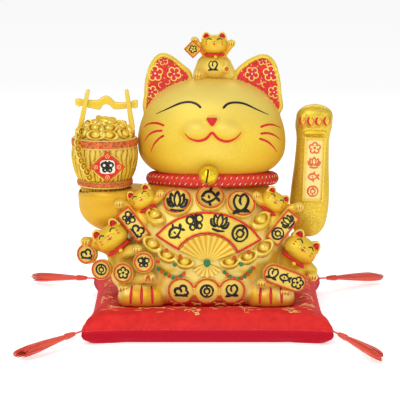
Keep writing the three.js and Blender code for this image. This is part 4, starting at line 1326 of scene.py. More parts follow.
def triple_outline(radius):
    """The joined outline of the three lobes, anticlockwise."""
    outline = []
    for x, start, end in ((LOBES[2], -156, 156), (LOBES[1], 22, 158), (LOBES[0], 22, 338),
                          (LOBES[1], 202, 338)):
        outline += arc(x, LOBE_Z, radius, start, end, 1, 20)
    return outline


def ingot_field(points):
    """A boat-shaped ingot along X, its open side towards -Y, with a dome."""
    x, y, z = points[..., 0], points[..., 1], points[..., 2]
    bent = np.stack((x, y + 0.028 * x * x * 0.8, z), axis=-1)
    hull = ellipsoid(bent, (0, 1, 0), (13, 7, 8))
    bowl = ellipsoid(bent, (0, -5.5, 0), (10.5, 5.5, 6.2))
    dome = ellipsoid(points, (0, -2.6, 0), (5.6, 5, 5.2))
    lip = smooth_max(hull, -bowl, 0.8)
    return smooth_min(lip, dome, 0.8)


def make_ingot_pattern():
    pattern = sculpt("ingot_pattern", ingot_field, ((-15, -11, -10), (15, 9.5, 10)), 0.75,
                     MATERIALS["bright"])
    verts = points_of(pattern)
    faces = [tuple(polygon.vertices) for polygon in pattern.data.polygons]
    bpy.data.objects.remove(pattern)
    return verts, faces


INGOT_VERTS, INGOT_FACES = make_ingot_pattern()


def make_ingots():
    """A row of three ingots on each side of the fan."""
    rows = {
        "left": ((-66, 108.5, 26, 1.2), (-48.5, 97.5, 20, 1.05), (-27.5, 90.5, 8, 1.0)),
        "right": ((68, 104.3, -26, 1.2), (48.8, 95.7, -20, 1.05), (27, 90.6, -8, 1.0)),
    }
    made = []
    for side, places in rows.items():
        strokes = Strokes()
        for x, z, roll, size in places:
            tilted = placed(INGOT_VERTS * size, (0, 0, 0), (-35, 0, 0))
            strokes.add(bedded(tilted, x, z, 3.5, roll), INGOT_FACES, MATERIALS["bright"])
        made.append(settle(strokes.piece("ingot_row_" + side), ROOT, "bright_gold", "ingots_" + side))
    return made


BEAD_STRINGS = {
    "left": ((-59.3, 80.8), (-50, 75.2), (-42.4, 71.7), (-35, 72.2), (-28.5, 76.9)),
    "right": ((20.5, 78.9), (28, 73), (37.4, 70), (47, 73.5), (55.9, 82.2)),
}
LOOSE_BEADS = {
    "left": (("red", -49.5, 105.8), ("red", -33, 99.6), ("red", -60, 91.8), ("green", -39.5, 89.2)),
    "right": (("red", 50, 104), ("red", 32.4, 97.8), ("green", 40.7, 89.5)),
}


def make_beads():
    """Green and red beads in turn on a thread, and a few loose ones above each string."""
    for side, points in BEAD_STRINGS.items():
        strokes = Strokes()
        path = smooth_curve(points, 60)
        length = np.linalg.norm(np.diff(path, axis=0), axis=1).sum()
        beads = smooth_curve(points, int(length / 4.6) + 1)
        thread = [(x, float(body_front(x, z)) - 3.2, z) for x, z in path]
        strokes.add(*tube_mesh(thread, np.tile((0, -1.0, 0), (60, 1)), 0.5, 0.5, 6), MATERIALS["relief"])
        for i, (x, z) in enumerate(beads):
            tone = MATERIALS["green" if i % 2 == 0 else "red"]
            strokes.add(*ball_mesh((x, float(body_front(x, z)) - 3.4, z), 2.4), tone)
        for tone, x, z in LOOSE_BEADS[side]:
            strokes.add(*ball_mesh((x, float(body_front(x, z)) - 11, z), 2.6), MATERIALS[tone])
        settle(strokes.piece("bead_string_" + side), ROOT, "red_glaze", "beads_" + side)


# ------------------------------------------------------------------ little cats

EAR_SHAPE = [(0.24, 0.5), (0.42, 0.84), (0.57, 0.96), (0.74, 0.94), (0.90, 0.76), (0.99, 0.35)]
EAR_DISH = [(0.40, 0.62), (0.49, 0.80), (0.60, 0.88), (0.73, 0.86), (0.83, 0.72), (0.87, 0.55)]
GAZE = 0.25  # how far up its head each little cat's face sits, in head radii
NOD = -8  # degrees that each little head is tipped


class LittleCat:
    """A small seated cat. `head` is where its head's middle is, `roll` tilts it (degrees about Y)."""

    def __init__(self, name, node, head, r, roll, parts, paws, box, belly=None):
        self.name, self.node, self.r = name, node, r
        self.head = np.array(head, dtype=float)
        self.turn = (NOD, roll, 0)
        self.parts, self.paws, self.box, self.belly = parts, paws, box, belly

    def on_head(self, x, z, y=0.0):
        """A place given in head radii, in the head's own axes."""
        return self.head + turn_matrix(self.turn) @ (np.array((x, y, z)) * self.r)

    def head_field(self, points):
        q = local(points, self.head, self.turn) / self.r
        skull = ellipsoid(q, (0, 0, -0.02), (1.06, 0.84, 0.80))
        cheeks = ellipsoid(q, (0, -0.1, -0.25), (1.0, 0.72, 0.52))
        form = smooth_min(skull, cheeks, 0.2)
        for side in (-1, 1):
            puff = ellipsoid(q, (0.15 * side, -0.78, 0.04), (0.2, 0.14, 0.12))
            form = smooth_min(form, puff, 0.1)
            ear = polygon_distance(q[..., 0] * side, q[..., 2], EAR_SHAPE)
            ear = smooth_max(ear, np.abs(q[..., 1]) - 0.26, 0.12) - 0.04
            dish = smooth_max(polygon_distance(q[..., 0] * side, q[..., 2], EAR_DISH), q[..., 1] + 0.2, 0.05)
            form = smooth_min(form, smooth_max(ear, -dish, 0.05), 0.05)
        return form * self.r

    def field(self, points):
        form = None
        for start, end, r0, r1 in self.parts:
            limb = round_cone(points, start, end, r0, r1)
            form = limb if form is None else smooth_min(form, limb, 4)
        if self.belly:
            centre, radii = self.belly
            form = smooth_min(form, ellipsoid(points, centre, radii), 3)
        for centre, radius in self.paws:
            paw = ellipsoid(points, centre, (radius * 1.1, radius * 0.9, radius))
            form = smooth_min(form, paw, 2)
            for k in (-1, 0, 1):
                at = (centre[0] + k * radius * 0.55, centre[1] - radius * 0.65, centre[2] + radius * 0.1)
                toe = ellipsoid(points, at, (radius * 0.36, radius * 0.5, radius * 0.6))
                form = smooth_min(form, toe, 0.8)
        head = self.head_field(points)
        return smooth_min(form, head, 1.2)

    def make(self, room, step=0.85, slot="pale_gold"):
        """Sculpts the cat; `room` is a field that it stays out of."""

        def form(points):
            return np.maximum(self.field(points), -room(points))

        return cast(self.name, form, self.box, step, "relief", slot, self.node)

    def face(self, strokes, surface):
        """Ears, arc eyes, nose, mouth, cheek strokes and the red collar, laid on from in front."""
        r = self.r

        def line(points, width, tone, taper=(1, 1)):
            flat = [self.on_head(x, z) for x, z in points]
            strokes.line(surface, [(p[0], p[2]) for p in flat], width * r, MATERIALS[tone], 0.035 * r + 0.1,
                         taper, spacing=0.6)

        for side in (-1, 1):
            line([(0.64 * side, 0.13 + GAZE), (0.43 * side, 0.28 + GAZE), (0.2 * side, 0.17 + GAZE)], 0.09,
                 "black", (0.5, 0.9))
            for k in (0, 1):
                line([(0.56 * side, -0.16 + 0.15 * k + GAZE), (0.70 * side, -0.2 + 0.18 * k + GAZE)], 0.09,
                     "red", (0.6, 0.8))
            outline = [self.on_head(x * side, z) for x, z in EAR_DISH]
            strokes.patch(surface, [(p[0], p[2]) for p in outline], MATERIALS["crimson"], 0.35, 1.2)
            lip = [(0, -0.08 + GAZE), (0.1 * side, -0.14 + GAZE), (0.2 * side, -0.07 + GAZE)]
            line(lip, 0.045, "crimson")
        line([(-0.05, 0.02 + GAZE), (0.05, 0.02 + GAZE)], 0.1, "crimson")
        line([(-0.05, -0.18 + GAZE), (0.05, -0.18 + GAZE)], 0.13, "crimson")
        band, out = [], []
        for angle in np.radians(np.linspace(-178, -2, 25)):
            way = np.array((math.cos(angle), math.sin(angle) * 0.9, 0.0))
            band.append(self.on_head(0.76 * way[0], -0.82 - 0.05 * abs(way[1]), 0.62 * way[1] - 0.06))
            out.append(turn_matrix(self.turn) @ way)
        strokes.add(*tube_mesh(band, out, 0.105 * r, 0.09 * r, 10), MATERIALS["crimson"])
        strokes.add(*ball_mesh(self.on_head(0.1, -1.02, -0.62), 0.15 * r, 14), MATERIALS["bright"])

    def claws(self, strokes, surface):
        for centre, radius in self.paws:
            for k in (-0.5, 0.0, 0.5):
                x = centre[0] + k * radius * 1.1
                strokes.line(surface, [(x, centre[2] - radius * 0.45), (x + 0.2, centre[2] + radius * 0.4)],
                             0.22 * radius, MATERIALS["red"], 0.35, (0.6, 0.6), spacing=0.6)


CATS = [
    LittleCat("cat_with_upper_left_sign", "cat_upper_left", (-79.5, -57, 161.5), 16, -29,
              [((-84, -50, 152), (-80, -58, 136), 13, 12), ((-88, -54, 149), (-105, -62, 156), 6.5, 5.5),
               ((-72, -56, 152), (-58, -64, 166), 6, 5)],
              [((-107, -65, 157), 5.8), ((-57, -66, 169), 5.4)], ((-120, -92, 118), (-44, -20, 192))),
    LittleCat("cat_with_upper_right_sign", "cat_upper_right", (81.6, -57, 158), 15.8, 34,
              [((87, -50, 148), (80, -58, 132), 13, 12), ((92, -54, 146), (110, -58, 151), 6.5, 5.5),
               ((75, -56, 149), (61, -65, 164), 6, 5)],
              [((112, -60, 152), 5.6), ((59.5, -66, 167), 5.2)], ((44, -92, 114), (126, -20, 188))),
    LittleCat("cat_with_four_coins", "cat_lower_left", (-117.5, -62, 114.5), 19.5, -36,
              [((-108, -50, 98), (-98, -46, 66), 17, 21), ((-118, -52, 98), (-146, -48, 106), 8.5, 6.5),
               ((-106, -60, 95), (-86, -80, 103), 8.5, 6.5), ((-96, -68, 64), (-72, -90, 71), 8, 7),
               ((-104, -60, 62), (-103, -74, 56), 9, 7)],
              [((-149, -52, 107), 6.6), ((-85, -86, 104), 6.0), ((-70, -92, 71), 7.4),
               ((-102, -81, 55), 6.4)],
              ((-166, -112, 40), (-52, -14, 146))),
    LittleCat("cat_with_oval_sign", "cat_lower_right", (114.6, -62, 100.5), 19.8, 37,
              [((107, -52, 84), (101, -46, 64), 19, 21), ((113, -54, 86), (128, -52, 70), 9, 8),
               ((94, -68, 60), (68, -90, 63), 7, 6), ((102, -60, 60), (95, -78, 53), 9, 7)],
              [((129, -60, 65), 6.2), ((65.5, -93, 64), 5.8), ((94.3, -86, 51), 6.4)],
              ((48, -112, 40), (150, -14, 134))),
]


def body_room(points):
    """Keeps the reliefs out of the body casting, apart from a thin bed."""
    return body_field(points) + 1.0


def make_cats():
    """The four cats of the front, with the ingots that the upper two hold."""
    cats = [(cat, cat.make(body_room)) for cat in CATS]
    for node, x, z, roll in (("cat_upper_left", -63.5, 142, 30), ("cat_upper_right", 64.4, 136.4, -30)):
        tilted = placed(INGOT_VERTS * 1.25, (0, 0, 0), (-30, 0, 0))
        held = Strokes()
        held.add(bedded(tilted, x, z, 5, roll), INGOT_FACES, MATERIALS["bright"])
        settle(held.piece("ingot_held_" + node), ROOT, "bright_gold")
    return cats


CROWN_CAT = LittleCat(
    "cat_on_crown", "crown_cat", (8.5, -5, 345.5), 15.5, 0,
    [((9, 0, 333), (9, 2, 318), 13.5, 17.5), ((-3, 1, 321), (-8, 1, 308), 9.5, 9.5),
     ((21, 1, 320), (26, 1, 308), 9, 9.5), ((0, -3, 332), (-13, -7, 347), 4.8, 4.2),
     ((18, -3, 332), (28, -5, 345), 5, 4.6),
     ((-7, -4, 308), (-11, -9, 307), 6, 6), ((23.5, -14, 316), (23.5, -12, 322), 5, 2.5)],
    [((-15.5, -8, 351), 4.6), ((29.5, -6, 347), 4.8), ((-12, -11, 308), 5.4)],
    ((-32, -30, 294), (48, 24, 366)), ((8, -6, 319), (16.5, 14.5, 13)))


def make_crown_cat():
    """The little cat on the crown with its sign."""
    cat = CROWN_CAT
    piece = cat.make(lambda points: head_field(points) + 1, 0.8, "gold_glaze")
    outline = rounded_rectangle(16.5, 16.5, 1)
    board, plane = sign_piece("crown_sign", outline, 4, (-17.6, -14, 340.6), (0, 45, 0), 0.6)
    settle(board, ROOT, "pale_gold")
    strokes = Strokes()
    strokes.line(plane, straightened(inset(outline, 1.0)), 1.6, MATERIALS["red"], 0.6, closed=True)
    draw_motif(strokes, Lifted(plane, -0.7), blossom, (0, 0), 11, MATERIALS["black"])
    surface = Surface(piece)
    cat.face(strokes, surface)
    cat.claws(strokes, surface)
    draw_motif(strokes, surface, peach, (7, 320.5), 15, MATERIALS["black"])
    strokes.dot(surface, (23.7, 316.5), 2.6, MATERIALS["red"], 1.0)
    settle(strokes.piece("crown_cat_enamel"), ROOT, "red_glaze")
    return piece


# ------------------------------------------------------------------ bucket

BUCKET_RIM = 71
BUCKET_PROFILE = ((0, 0), (27.5, 0), (28.5, 1), (31, 9.5), (33, 10.5), (33.9, 12), (34.3, 16.5), (34, 18),
                  (33.7, 19), (35.8, 23), (38.2, 29), (40, 36), (41, 43), (41.4, 49), (41.1, 55), (40.2, 60),
                  (40.5, 61), (40.7, 63), (40.7, 68), (39.6, 70), (38.2, BUCKET_RIM), (35.6, BUCKET_RIM),
                  (35, 69), (36, 50), (0, 48))


def bucket_radius(z):
    rows = np.array(BUCKET_PROFILE[1:20])
    return np.interp(z, rows[:, 1], rows[:, 0])


def make_bucket():
    """The tub: upright reeds between an upper and a lower red band."""
    rows = []
    for (r0, z0), (r1, z1) in zip(BUCKET_PROFILE, BUCKET_PROFILE[1:]):
        steps = max(1, int(math.hypot(r1 - r0, z1 - z0) / 1.4))
        rows += [(r0 + (r1 - r0) * i / steps, z0 + (z1 - z0) * i / steps) for i in range(steps)]
    rows.append(BUCKET_PROFILE[-1])
    sides = 300
    verts, faces, segments = lathe_mesh(rows, sides)
    radius, z = np.hypot(verts[:, 0], verts[:, 1]), verts[:, 2]
    angle = np.arctan2(verts[:, 1], verts[:, 0])
    first = np.sin(17 * angle + 0.9 * np.sin(0.09 * z + 3 * angle) + 0.4 * np.sin(0.3 * z + 7 * angle))
    second = np.sin(29 * angle + 1.3 * np.sin(0.08 * z + 5 * angle + 2))
    fading = 0.5 + 0.5 * np.sin(0.16 * z + 9 * angle)
    reeds = 1.5 * (1 - np.abs(first) ** 0.6) + 1.1 * fading * (1 - np.abs(second) ** 0.6)
    on_side = ((z > 19) & (z < 60) & (radius > 30)) | ((z > 1) & (z < 9.6) & (radius > 27))
    cut_in = np.where(on_side, -reeds, 0)
    beads = ((z > 61.5) & (z < 69.5) & (radius > 38)) | ((z > 11.5) & (z < 17.5) & (radius > 33))
    cut_in = np.where(beads, 0.35 * np.sin(angle * 60), cut_in)
    scale = np.where(radius > 1, (radius + cut_in) / np.maximum(radius, 1), 1)
    verts[:, :2] *= scale[:, None]
    tub = new_object("bucket_reeds", placed(verts, BUCKET_AT), faces, [MATERIALS["reed"], MATERIALS["band"]])
    heights = np.array([rows[i][1] for i in segments])
    radii = np.array([rows[i][0] for i in segments])
    upper_band = (heights >= 60.4) & (heights < 69.8) & (radii > 38)
    lower_band = (heights >= 10.2) & (heights < 17.8) & (radii > 33)
    set_slots(tub, upper_band | lower_band)
    clean(tub)
    settle(tub, "bucket", "gold_glaze", "bucket_tub")
    after = points_of(tub)
    r_after = np.hypot(after[:, 0] - BUCKET_AT[0], after[:, 1] - BUCKET_AT[1])
    rel = after[:, 2] - BUCKET_AT[2]
    # Painted shade in the grooves between the reeds; the tub is also darker towards the bottom and paler
    # towards the top.
    grooves = np.clip((bucket_radius(rel) - r_after - 0.35) / 1.1, 0, 1) * ((rel > 18) & (rel < 60.5))
    paint(tub, amber=0.8 * grooves + 0.15 * np.clip((26 - rel) / 26, 0, 1),
          pale=0.35 * (1 - grooves) * np.clip((rel - 38) / 20, 0, 1))


def plank_field(outline, low_y, high_y):
    """An upright board of the given outline between two values of y."""

    def field(points):
        flat = polygon_distance(points[..., 0], points[..., 2], outline)
        return smooth_max(flat, np.maximum(low_y - points[..., 1], points[..., 1] - high_y), 1.6)

    return field


def make_handle():
    """Two uprights and the carved yoke between them, standing on the bucket."""
    bx, by, bz = BUCKET_AT
    lines = {"left": ((-29.6, 64), (-30, 82), (-19.9, 129)), "right": ((27.6, 64), (34, 82), (27.3, 129))}
    for side, ((x0, z0), (x1, z1), (x2, z2)) in lines.items():
        outline = [(bx + x0 - 3.3, bz + z0), (bx + x0 + 3.3, bz + z0), (bx + x1 + 3.5, bz + z1),
                   (bx + x2 + 2.5, bz + z2 - 1), (bx + x2 + 1, bz + z2 + 0.5), (bx + x2 - 2.3, bz + z2 - 0.5),
                   (bx + x1 - 3.3, bz + z1)]
        low, high = np.min(outline, axis=0), np.max(outline, axis=0)
        box = ((low[0] - 2, by - 8, low[1] - 2), (high[0] + 2, by + 5, high[1] + 2))
        post = sculpt("handle_post_" + side, plank_field(outline, by - 6, by + 3), box, 0.8,
                      MATERIALS["relief"])
        settle(post, "bucket", "pale_gold", "bucket_upright_" + side)
    top = smooth_curve([(-36, 116.5), (-31, 117.5), (-27, 116.2), (-19.5, 115.9), (-8.5, 115.4), (-4, 118.5),
                        (2, 121), (7, 119), (11, 114.8), (14.5, 113), (24.6, 112.8), (33, 113.5),
                        (36.5, 115.8), (41, 115.2)], 80)
    under = smooth_curve([(41, 106.5), (37, 105.2), (33, 106.5), (24.6, 105), (12.5, 104.2), (9.5, 106),
                          (6.5, 109), (2, 110.7), (-2, 109.2), (-4.2, 105.2), (-7, 103.8), (-20, 106.5),
                          (-28, 108.5), (-31, 107.5), (-36, 109.5)], 80)
    outline = [(bx + x, bz + z) for x, z in np.vstack((top, under))]
    box = ((bx - 39, by - 3, bz + 100), (bx + 44, by + 10, bz + 125))
    yoke = sculpt("handle_yoke", plank_field(outline, by - 0.5, by + 8), box, 0.8, MATERIALS["relief"])
    settle(yoke, "bucket", "pale_gold", "bucket_yoke")


# How many ingots each ring of the heap has, its radius, its height over the rim and their tip in degrees.
HEAP_RINGS = ((10, 30, 5.5, 62), (8, 21, 12, 45), (4, 11, 15.5, 25), (1, 0, 18, 0))


def make_treasure():
    """A heap of ingots on a mound, and the string of coins that hangs over the rim."""
    rng = np.random.default_rng(7)
    bx, by, bz = BUCKET_AT
    heap = Strokes()
    dome = ball_mesh((0, 0, 0), 1, 32)
    heap.add(np.array(dome[0]) * (34, 34, 17) + (bx, by, bz + BUCKET_RIM - 3), dome[1], MATERIALS["bright"])
    for ring, (count, radius, height, tip) in enumerate(HEAP_RINGS):
        for i in range(count):
            angle = 360 * i / count + 17 * ring + rng.uniform(-6, 6)
            size = rng.uniform(0.9, 1.05) if ring < 3 else 1.1
            rolled = placed(INGOT_VERTS * size, (0, 0, 0), (0, rng.uniform(-35, 35), 0))
            faced = placed(rolled, (0, 0, 0), (-90 + tip if ring < 3 else -50, 0, angle + 90))
            at = (bx + radius * math.cos(math.radians(angle)), by + radius * math.sin(math.radians(angle)),
                  bz + BUCKET_RIM + height + rng.uniform(-1, 1))
            if ring == 3:
                at = (bx + 1, by - 3, bz + BUCKET_RIM + height)
            heap.add(faced + at, INGOT_FACES, MATERIALS["bright"])
    pile = settle(heap.piece("ingot_heap"), "bucket", "bright_gold", "bucket_treasure")
    string = Strokes()
    route = smooth_curve([(-28, -22, 80), (-31.5, -29, 70), (-30.5, -33, 58), (-27, -35.5, 46),
                          (-21, -36.5, 34), (-17, -35, 26)], 9)
    disc = lathe_mesh([(0, -1), (5, -1), (5.4, -0.5), (5.4, 0.6), (5, 1.1), (4.2, 1.1), (3.9, 0.4),
                       (1.8, 0.4), (1.5, 1), (0.1, 1)], 22)
    for place in route:
        out = math.degrees(math.atan2(place[0], -place[1]))
        turn = (75 + rng.uniform(-14, 14), rng.uniform(-20, 20), -out)
        string.add(placed(disc[0], np.array(BUCKET_AT) + place, turn), disc[1], MATERIALS["bright"])
    chain = clean(string.piece("coin_string"))
    settle(chain, "bucket", "bright_gold", "coin_chain")
    return pile


def make_charm():
    """The hanging diamond: red enamel with gold lines, a cream panel with a black motif."""
    half_x, half_z = 22, 19.5
    at = np.array(BUCKET_AT) + (5.1, -43.2, 39.6)
    outline = [(half_x, 0), (0, half_z), (-half_x, 0), (0, -half_z)]
    charm, plane = sign_piece("charm_diamond", outline, 3.2, at, (-2, 0, 0), 0.6,
                              (MATERIALS["red"], MATERIALS["crimson"]))
    settle(charm, "bucket", "red_glaze", "bucket_charm")
    strokes = Strokes()
    face = Lifted(plane, -0.8)
    strokes.line(face, [(half_x - 3.6, 0), (0, half_z - 3.2), (3.6 - half_x, 0), (0, 3.2 - half_z)], 0.8,
                 MATERIALS["gilt_line"], 0.5, closed=True)
    panel = [(8.6 * x, 8.2 * z) for x, z in ((1, -0.8), (1.05, 0), (0.9, 0.9), (0, 1.02), (-0.9, 0.9),
                                             (-1.05, 0), (-0.95, -0.85), (0, -1.0))]
    strokes.patch(face, [tuple(p) for p in closed_curve(panel, 24)], MATERIALS["cream"], 0.5, 0.9)
    draw_motif(strokes, Lifted(plane, -0.3), butterfly, (0, 0), 17, MATERIALS["black"], thick=0.8, weight=1.4)
    for x, z in ((14, 0), (-14, 0), (0, 13), (0, -12.6)):
        strokes.line(face, arc(x, z, 2.3, 0, 320), 0.7, MATERIALS["gilt_line"], 0.5, closed=True)
        strokes.dot(face, (x, z), 0.8, MATERIALS["gilt_line"], 0.7)
    settle(strokes.piece("charm_enamel"), "bucket", "red_glaze")


# ------------------------------------------------------------------ waving arm

ARM_AT = (127, 0, 135)
ARM_LEAN = 0.048
ARM_DEPTH = 0.86
ARM_BOTTOM = -32
ARM_TOP = 136
FIRST_TOE_X = 117.6
TOE_PITCH = 10
ARM_OUTLINE = ((-32, 2), (-29.5, 10), (-24, 16.5), (-14, 21.5), (4, 24.2), (28, 24), (60, 21.6), (88, 20.4),
               (100, 21.4), (108, 22.8), (118, 22.4), (128, 18), (134, 11), (136, 2))
ARM_CURVE = smooth_curve(ARM_OUTLINE, 160)


def arm_field(points):
    """The waving arm and its paw with four toes."""
    z = points[..., 2] - ARM_AT[2]
    half = column_at(ARM_CURVE, z, 1)
    shifted = points - np.array((ARM_AT[0], ARM_AT[1], 0), dtype=np.float32)
    shifted[..., 0] -= z * ARM_LEAN
    form = barrel(shifted, 0, half, half * ARM_DEPTH, 2.3)
    form = smooth_max(form, z - ARM_TOP, 5)
    form = smooth_max(form, ARM_BOTTOM - z, 5)
    knuckles = ellipsoid(points, (132.8, -9, 258), (22, 13.5, 13))
    form = smooth_min(form, knuckles, 6)
    for k in range(4):
        at = (FIRST_TOE_X + TOE_PITCH * k, -17.5 + 0.9 * (k - 1.5) ** 2, 252)
        toe = ellipsoid(points, at, (5.4, 6.5, 8.5))
        form = smooth_min(form, toe, 2)
    return form


def make_arm():
    """The waving arm with its sign, claws and gold bar."""
    arm = sculpt("waving_arm_casting", arm_field, ((99, -28, 100), (160, 26, 274)), 1.2, MATERIALS["glitter"])
    settle(arm, "waving_arm", "glitter_gold", "arm_shell")
    points = points_of(arm)
    # Painted shade: darker between the toes, along both edges of the arm and towards its bottom.
    toes = np.clip(1 - np.abs(points[:, 2] - 251) / 9, 0, 1) * (points[:, 1] < -15)
    crease = np.abs(np.sin((points[:, 0] - 112.6) * math.pi / 10))
    leaning = points[:, 0] - ARM_LEAN * (points[:, 2] - ARM_AT[2])
    edge = np.clip((117 - leaning) / 13, 0, 1) + 0.6 * np.clip((leaning - 143) / 9, 0, 1)
    paint(arm, amber=np.clip(0.3 * np.clip((135 - points[:, 2]) / 50, 0, 1) + 0.48 * edge
                             + 0.5 * toes * (crease < 0.4), 0, 1))
    turn = (0, 2.1, 0)
    outline = rounded_rectangle(27, 81, 1.6)
    board, plane = sign_piece("arm_sign", outline, 6, (131.6, -20.4, 192), turn, 0.8,
                              (MATERIALS["bright"], MATERIALS["plate_face"]))
    settle(board, "waving_arm", "pale_gold", "arm_plaque")
    paint(board, amber=0.0)
    strokes = Strokes()
    face = Lifted(plane, -0.8)
    border = straightened(rounded_rectangle(20, 74, 1))
    strokes.line(face, border, 0.7, MATERIALS["gilt_line"], 0.4, closed=True)
    for i, motif in enumerate((blossom, lotus, fish, cash)):
        draw_motif(strokes, face, motif, (0, 27 - 18 * i), 16.5, MATERIALS["rose"], thick=0.7, weight=0.95)
    settle(strokes.piece("arm_sign_enamel"), "waving_arm", "red_glaze")
    surface = Surface(arm)
    nails = Strokes()
    for k in range(4):
        x = FIRST_TOE_X + TOE_PITCH * k
        nails.line(surface, arc(x, 252.5, 3.6, 110, 280, 1.4), 3.0, MATERIALS["crimson"], 0.7, (0.6, 0.5))
        fold = [(x + 1.6, 257), (x + 3.4, 252), (x + 1.2, 247)]
        nails.line(surface, fold, 2.2, MATERIALS["rose"], 0.6, (0.5, 0.5))
    bar = [(118.5, 236.4), (133, 237.8), (147.5, 237)]
    nails.line(surface, bar, 5.5, MATERIALS["bright"], 1.8)
    settle(nails.piece("arm_nails"), "waving_arm", "red_glaze")


# ------------------------------------------------------------------ collar and bell

COLLAR = {"x": 6.4, "z": 178, "half_x": 74.6, "half_y": 58.5, "tilt": 6.2, "r": 8.2}


def collar_frame(angle):
    """Centre line and outward way of the collar at an angle, radians."""
    c, s = np.cos(angle), np.sin(angle)
    height = COLLAR["z"] - COLLAR["tilt"] * s
    centre = np.stack((COLLAR["x"] + COLLAR["half_x"] * c, COLLAR["half_y"] * s, height), -1)
    out = np.stack((c / COLLAR["half_x"], s / COLLAR["half_y"], 0 * c), -1)
    return centre, out / np.linalg.norm(out, axis=-1, keepdims=True)


def make_collar():
    """A cord collar: finely twisted threads, with two rows of slanted gold and white flecks."""
    around, sides, twist = 720, 40, 46
    u, v = angles_round(around), angles_round(sides)
    centre, out = collar_frame(u)
    up = np.array((0, 0, 1.0))
    wave = np.abs(np.sin(2.5 * v[None, :] + twist * u[:, None]))
    radius = COLLAR["r"] - 0.65 * (1 - wave) ** 1.4
    verts = (centre[:, None] + out[:, None] * (radius * np.cos(v))[..., None]
             + up * (radius * np.sin(v))[..., None]).reshape(-1, 3)
    faces = []
    for i in range(around):
        faces += band_faces(i * sides, ((i + 1) % around) * sides, sides)
    rope = clean(new_object("collar_cord", verts, faces, MATERIALS["cord_red"]))
    settle(rope, ROOT, "collar_cord", "collar_rope")
    flecks = Strokes()
    count = 66
    for row, bend in ((0, -26), (1, 30)):
        for i in range(count):
            angle = 2 * math.pi * (i + 0.5 * row) / count
            c, o = collar_frame(np.array(angle))
            along = np.array((-math.sin(angle), math.cos(angle), 0))
            tilt = math.radians(bend)
            normal = o * math.cos(tilt) + up * math.sin(tilt)
            rise = up * math.cos(tilt) - o * math.sin(tilt)
            middle = c + normal * (COLLAR["r"] - 0.15)
            slant = (along * 0.75 + rise) / 1.25
            path = [middle + slant * s * 1.9 - normal * abs(s) * 0.3 for s in (-1, -0.5, 0, 0.5, 1)]
            tone = MATERIALS["gilt_line" if (i + row) % 3 else "cream"]
            flecks.add(*tube_mesh(path, np.tile(normal, (5, 1)), (0.25, 0.5, 0.6, 0.5, 0.25), 0.45, 6), tone)
    settle(flecks.piece("collar_flecks"), ROOT, "collar_cord")


def make_bell():
    """A hollow ball with a raised band, a curved slot that ends in a hole, and its loop."""
    radius, centre = BELL_RADIUS, bell_centre()

    def field(points):
        q = points - centre.astype(np.float32)
        away = np.linalg.norm(q, axis=-1)
        shell = away - radius
        level = np.hypot(q[..., 0], q[..., 1])
        band = np.maximum(np.abs(level - radius * 0.99) - 0.7, np.abs(q[..., 2] - 1.2) - 1.0)
        shell = smooth_min(shell, band, 0.5)
        shell = smooth_max(shell, radius - 1.1 - away, 0.3)
        curve = 0.9 * np.sin(q[..., 2] * 0.25)
        slot = np.maximum(np.abs(q[..., 0] + 1.6 - curve) - 0.75, np.maximum(q[..., 2] - 8.5, q[..., 1] - 2))
        hole = np.hypot(q[..., 0] + 1.6 - curve, q[..., 2] + 9.5) - 1.9
        hole = np.maximum(hole, q[..., 1] - 2)
        loop = rounded_box(points, centre + (0, radius + 0.6, -4.2), (1.6, 2.2, 1.6), 0.8)
        shell = np.minimum(shell, np.maximum(loop, radius - 0.5 - away))
        return smooth_max(smooth_max(shell, -slot, 0.3), -hole, 0.3)

    bell = sculpt("jingle_bell", field, (centre - 13.5, centre + (13.5, 15.5, 13.5)), 0.5, MATERIALS["brass"])
    smoothed = bell.modifiers.new("even", "SMOOTH")
    smoothed.iterations = 14
    apply_modifier(bell, smoothed)
    settle(bell, "bell", "bell_brass", "bell_shell")


# ------------------------------------------------------------------ painted face and ears

EYES = (((-63, 263.4), (-45.4, 272.5), (-32.8, 278.1), (-21.6, 279.9), (-13.2, 277.8), (-7.6, 273.4)),
        ((75.5, 262.3), (59.6, 270.4), (45.5, 277.3), (33.6, 279.4), (24.4, 277.8), (18.6, 272.8)))
MOUTH = (((-27.8, 243.9), (-21.5, 237.9), (-11.8, 235.1), (-2.1, 237.6), (5.6, 245.8)),
         ((41.3, 245.1), (34.1, 237.9), (23.6, 234.3), (13.2, 237.6), (5.6, 245.8)))
WHISKERS = (((-78.5, 245.1), (-72.3, 250.7), (-62.2, 253.3), (-52.3, 251.3)),
            ((-77.8, 228.5), (-71.5, 238.1), (-63.6, 243.3), (-54.4, 245.3)),
            ((-69.4, 216.4), (-65.7, 226.5), (-59.3, 235), (-52.3, 240)),
            ((90.6, 244.1), (82.3, 249.6), (73.6, 251.3), (64.3, 249.5)),
            ((90.5, 230.1), (82.3, 237.5), (73.6, 241.4), (64.3, 241.7)),
            ((85.7, 216), (79.3, 225.5), (72.1, 232), (62.8, 236.1)))


def make_face():
    """Arc eyes, mouth, whiskers and nose, painted on the head."""
    surface = Surface(head)
    strokes = Strokes()
    for eye in EYES:
        strokes.line(surface, eye, 3.1, MATERIALS["black"], 0.5, (0.25, 1.0))
    for half in MOUTH:
        strokes.line(surface, half, 3.4, MATERIALS["crimson"], 0.5, (0.3, 1.0))
    for whisker in WHISKERS:
        strokes.line(surface, whisker, 2.7, MATERIALS["crimson"], 0.45, (0.3, 1.1))
    nose = closed_curve([(-0.6, 262), (5.2, 262.6), (11, 262), (10.4, 258.4), (5.7, 252.6), (0.6, 258.4)], 30)
    strokes.patch(surface, [tuple(p) for p in nose], MATERIALS["crimson"], 0.5, 1.2)
    settle(strokes.piece("face_enamel"), ROOT, "red_glaze")


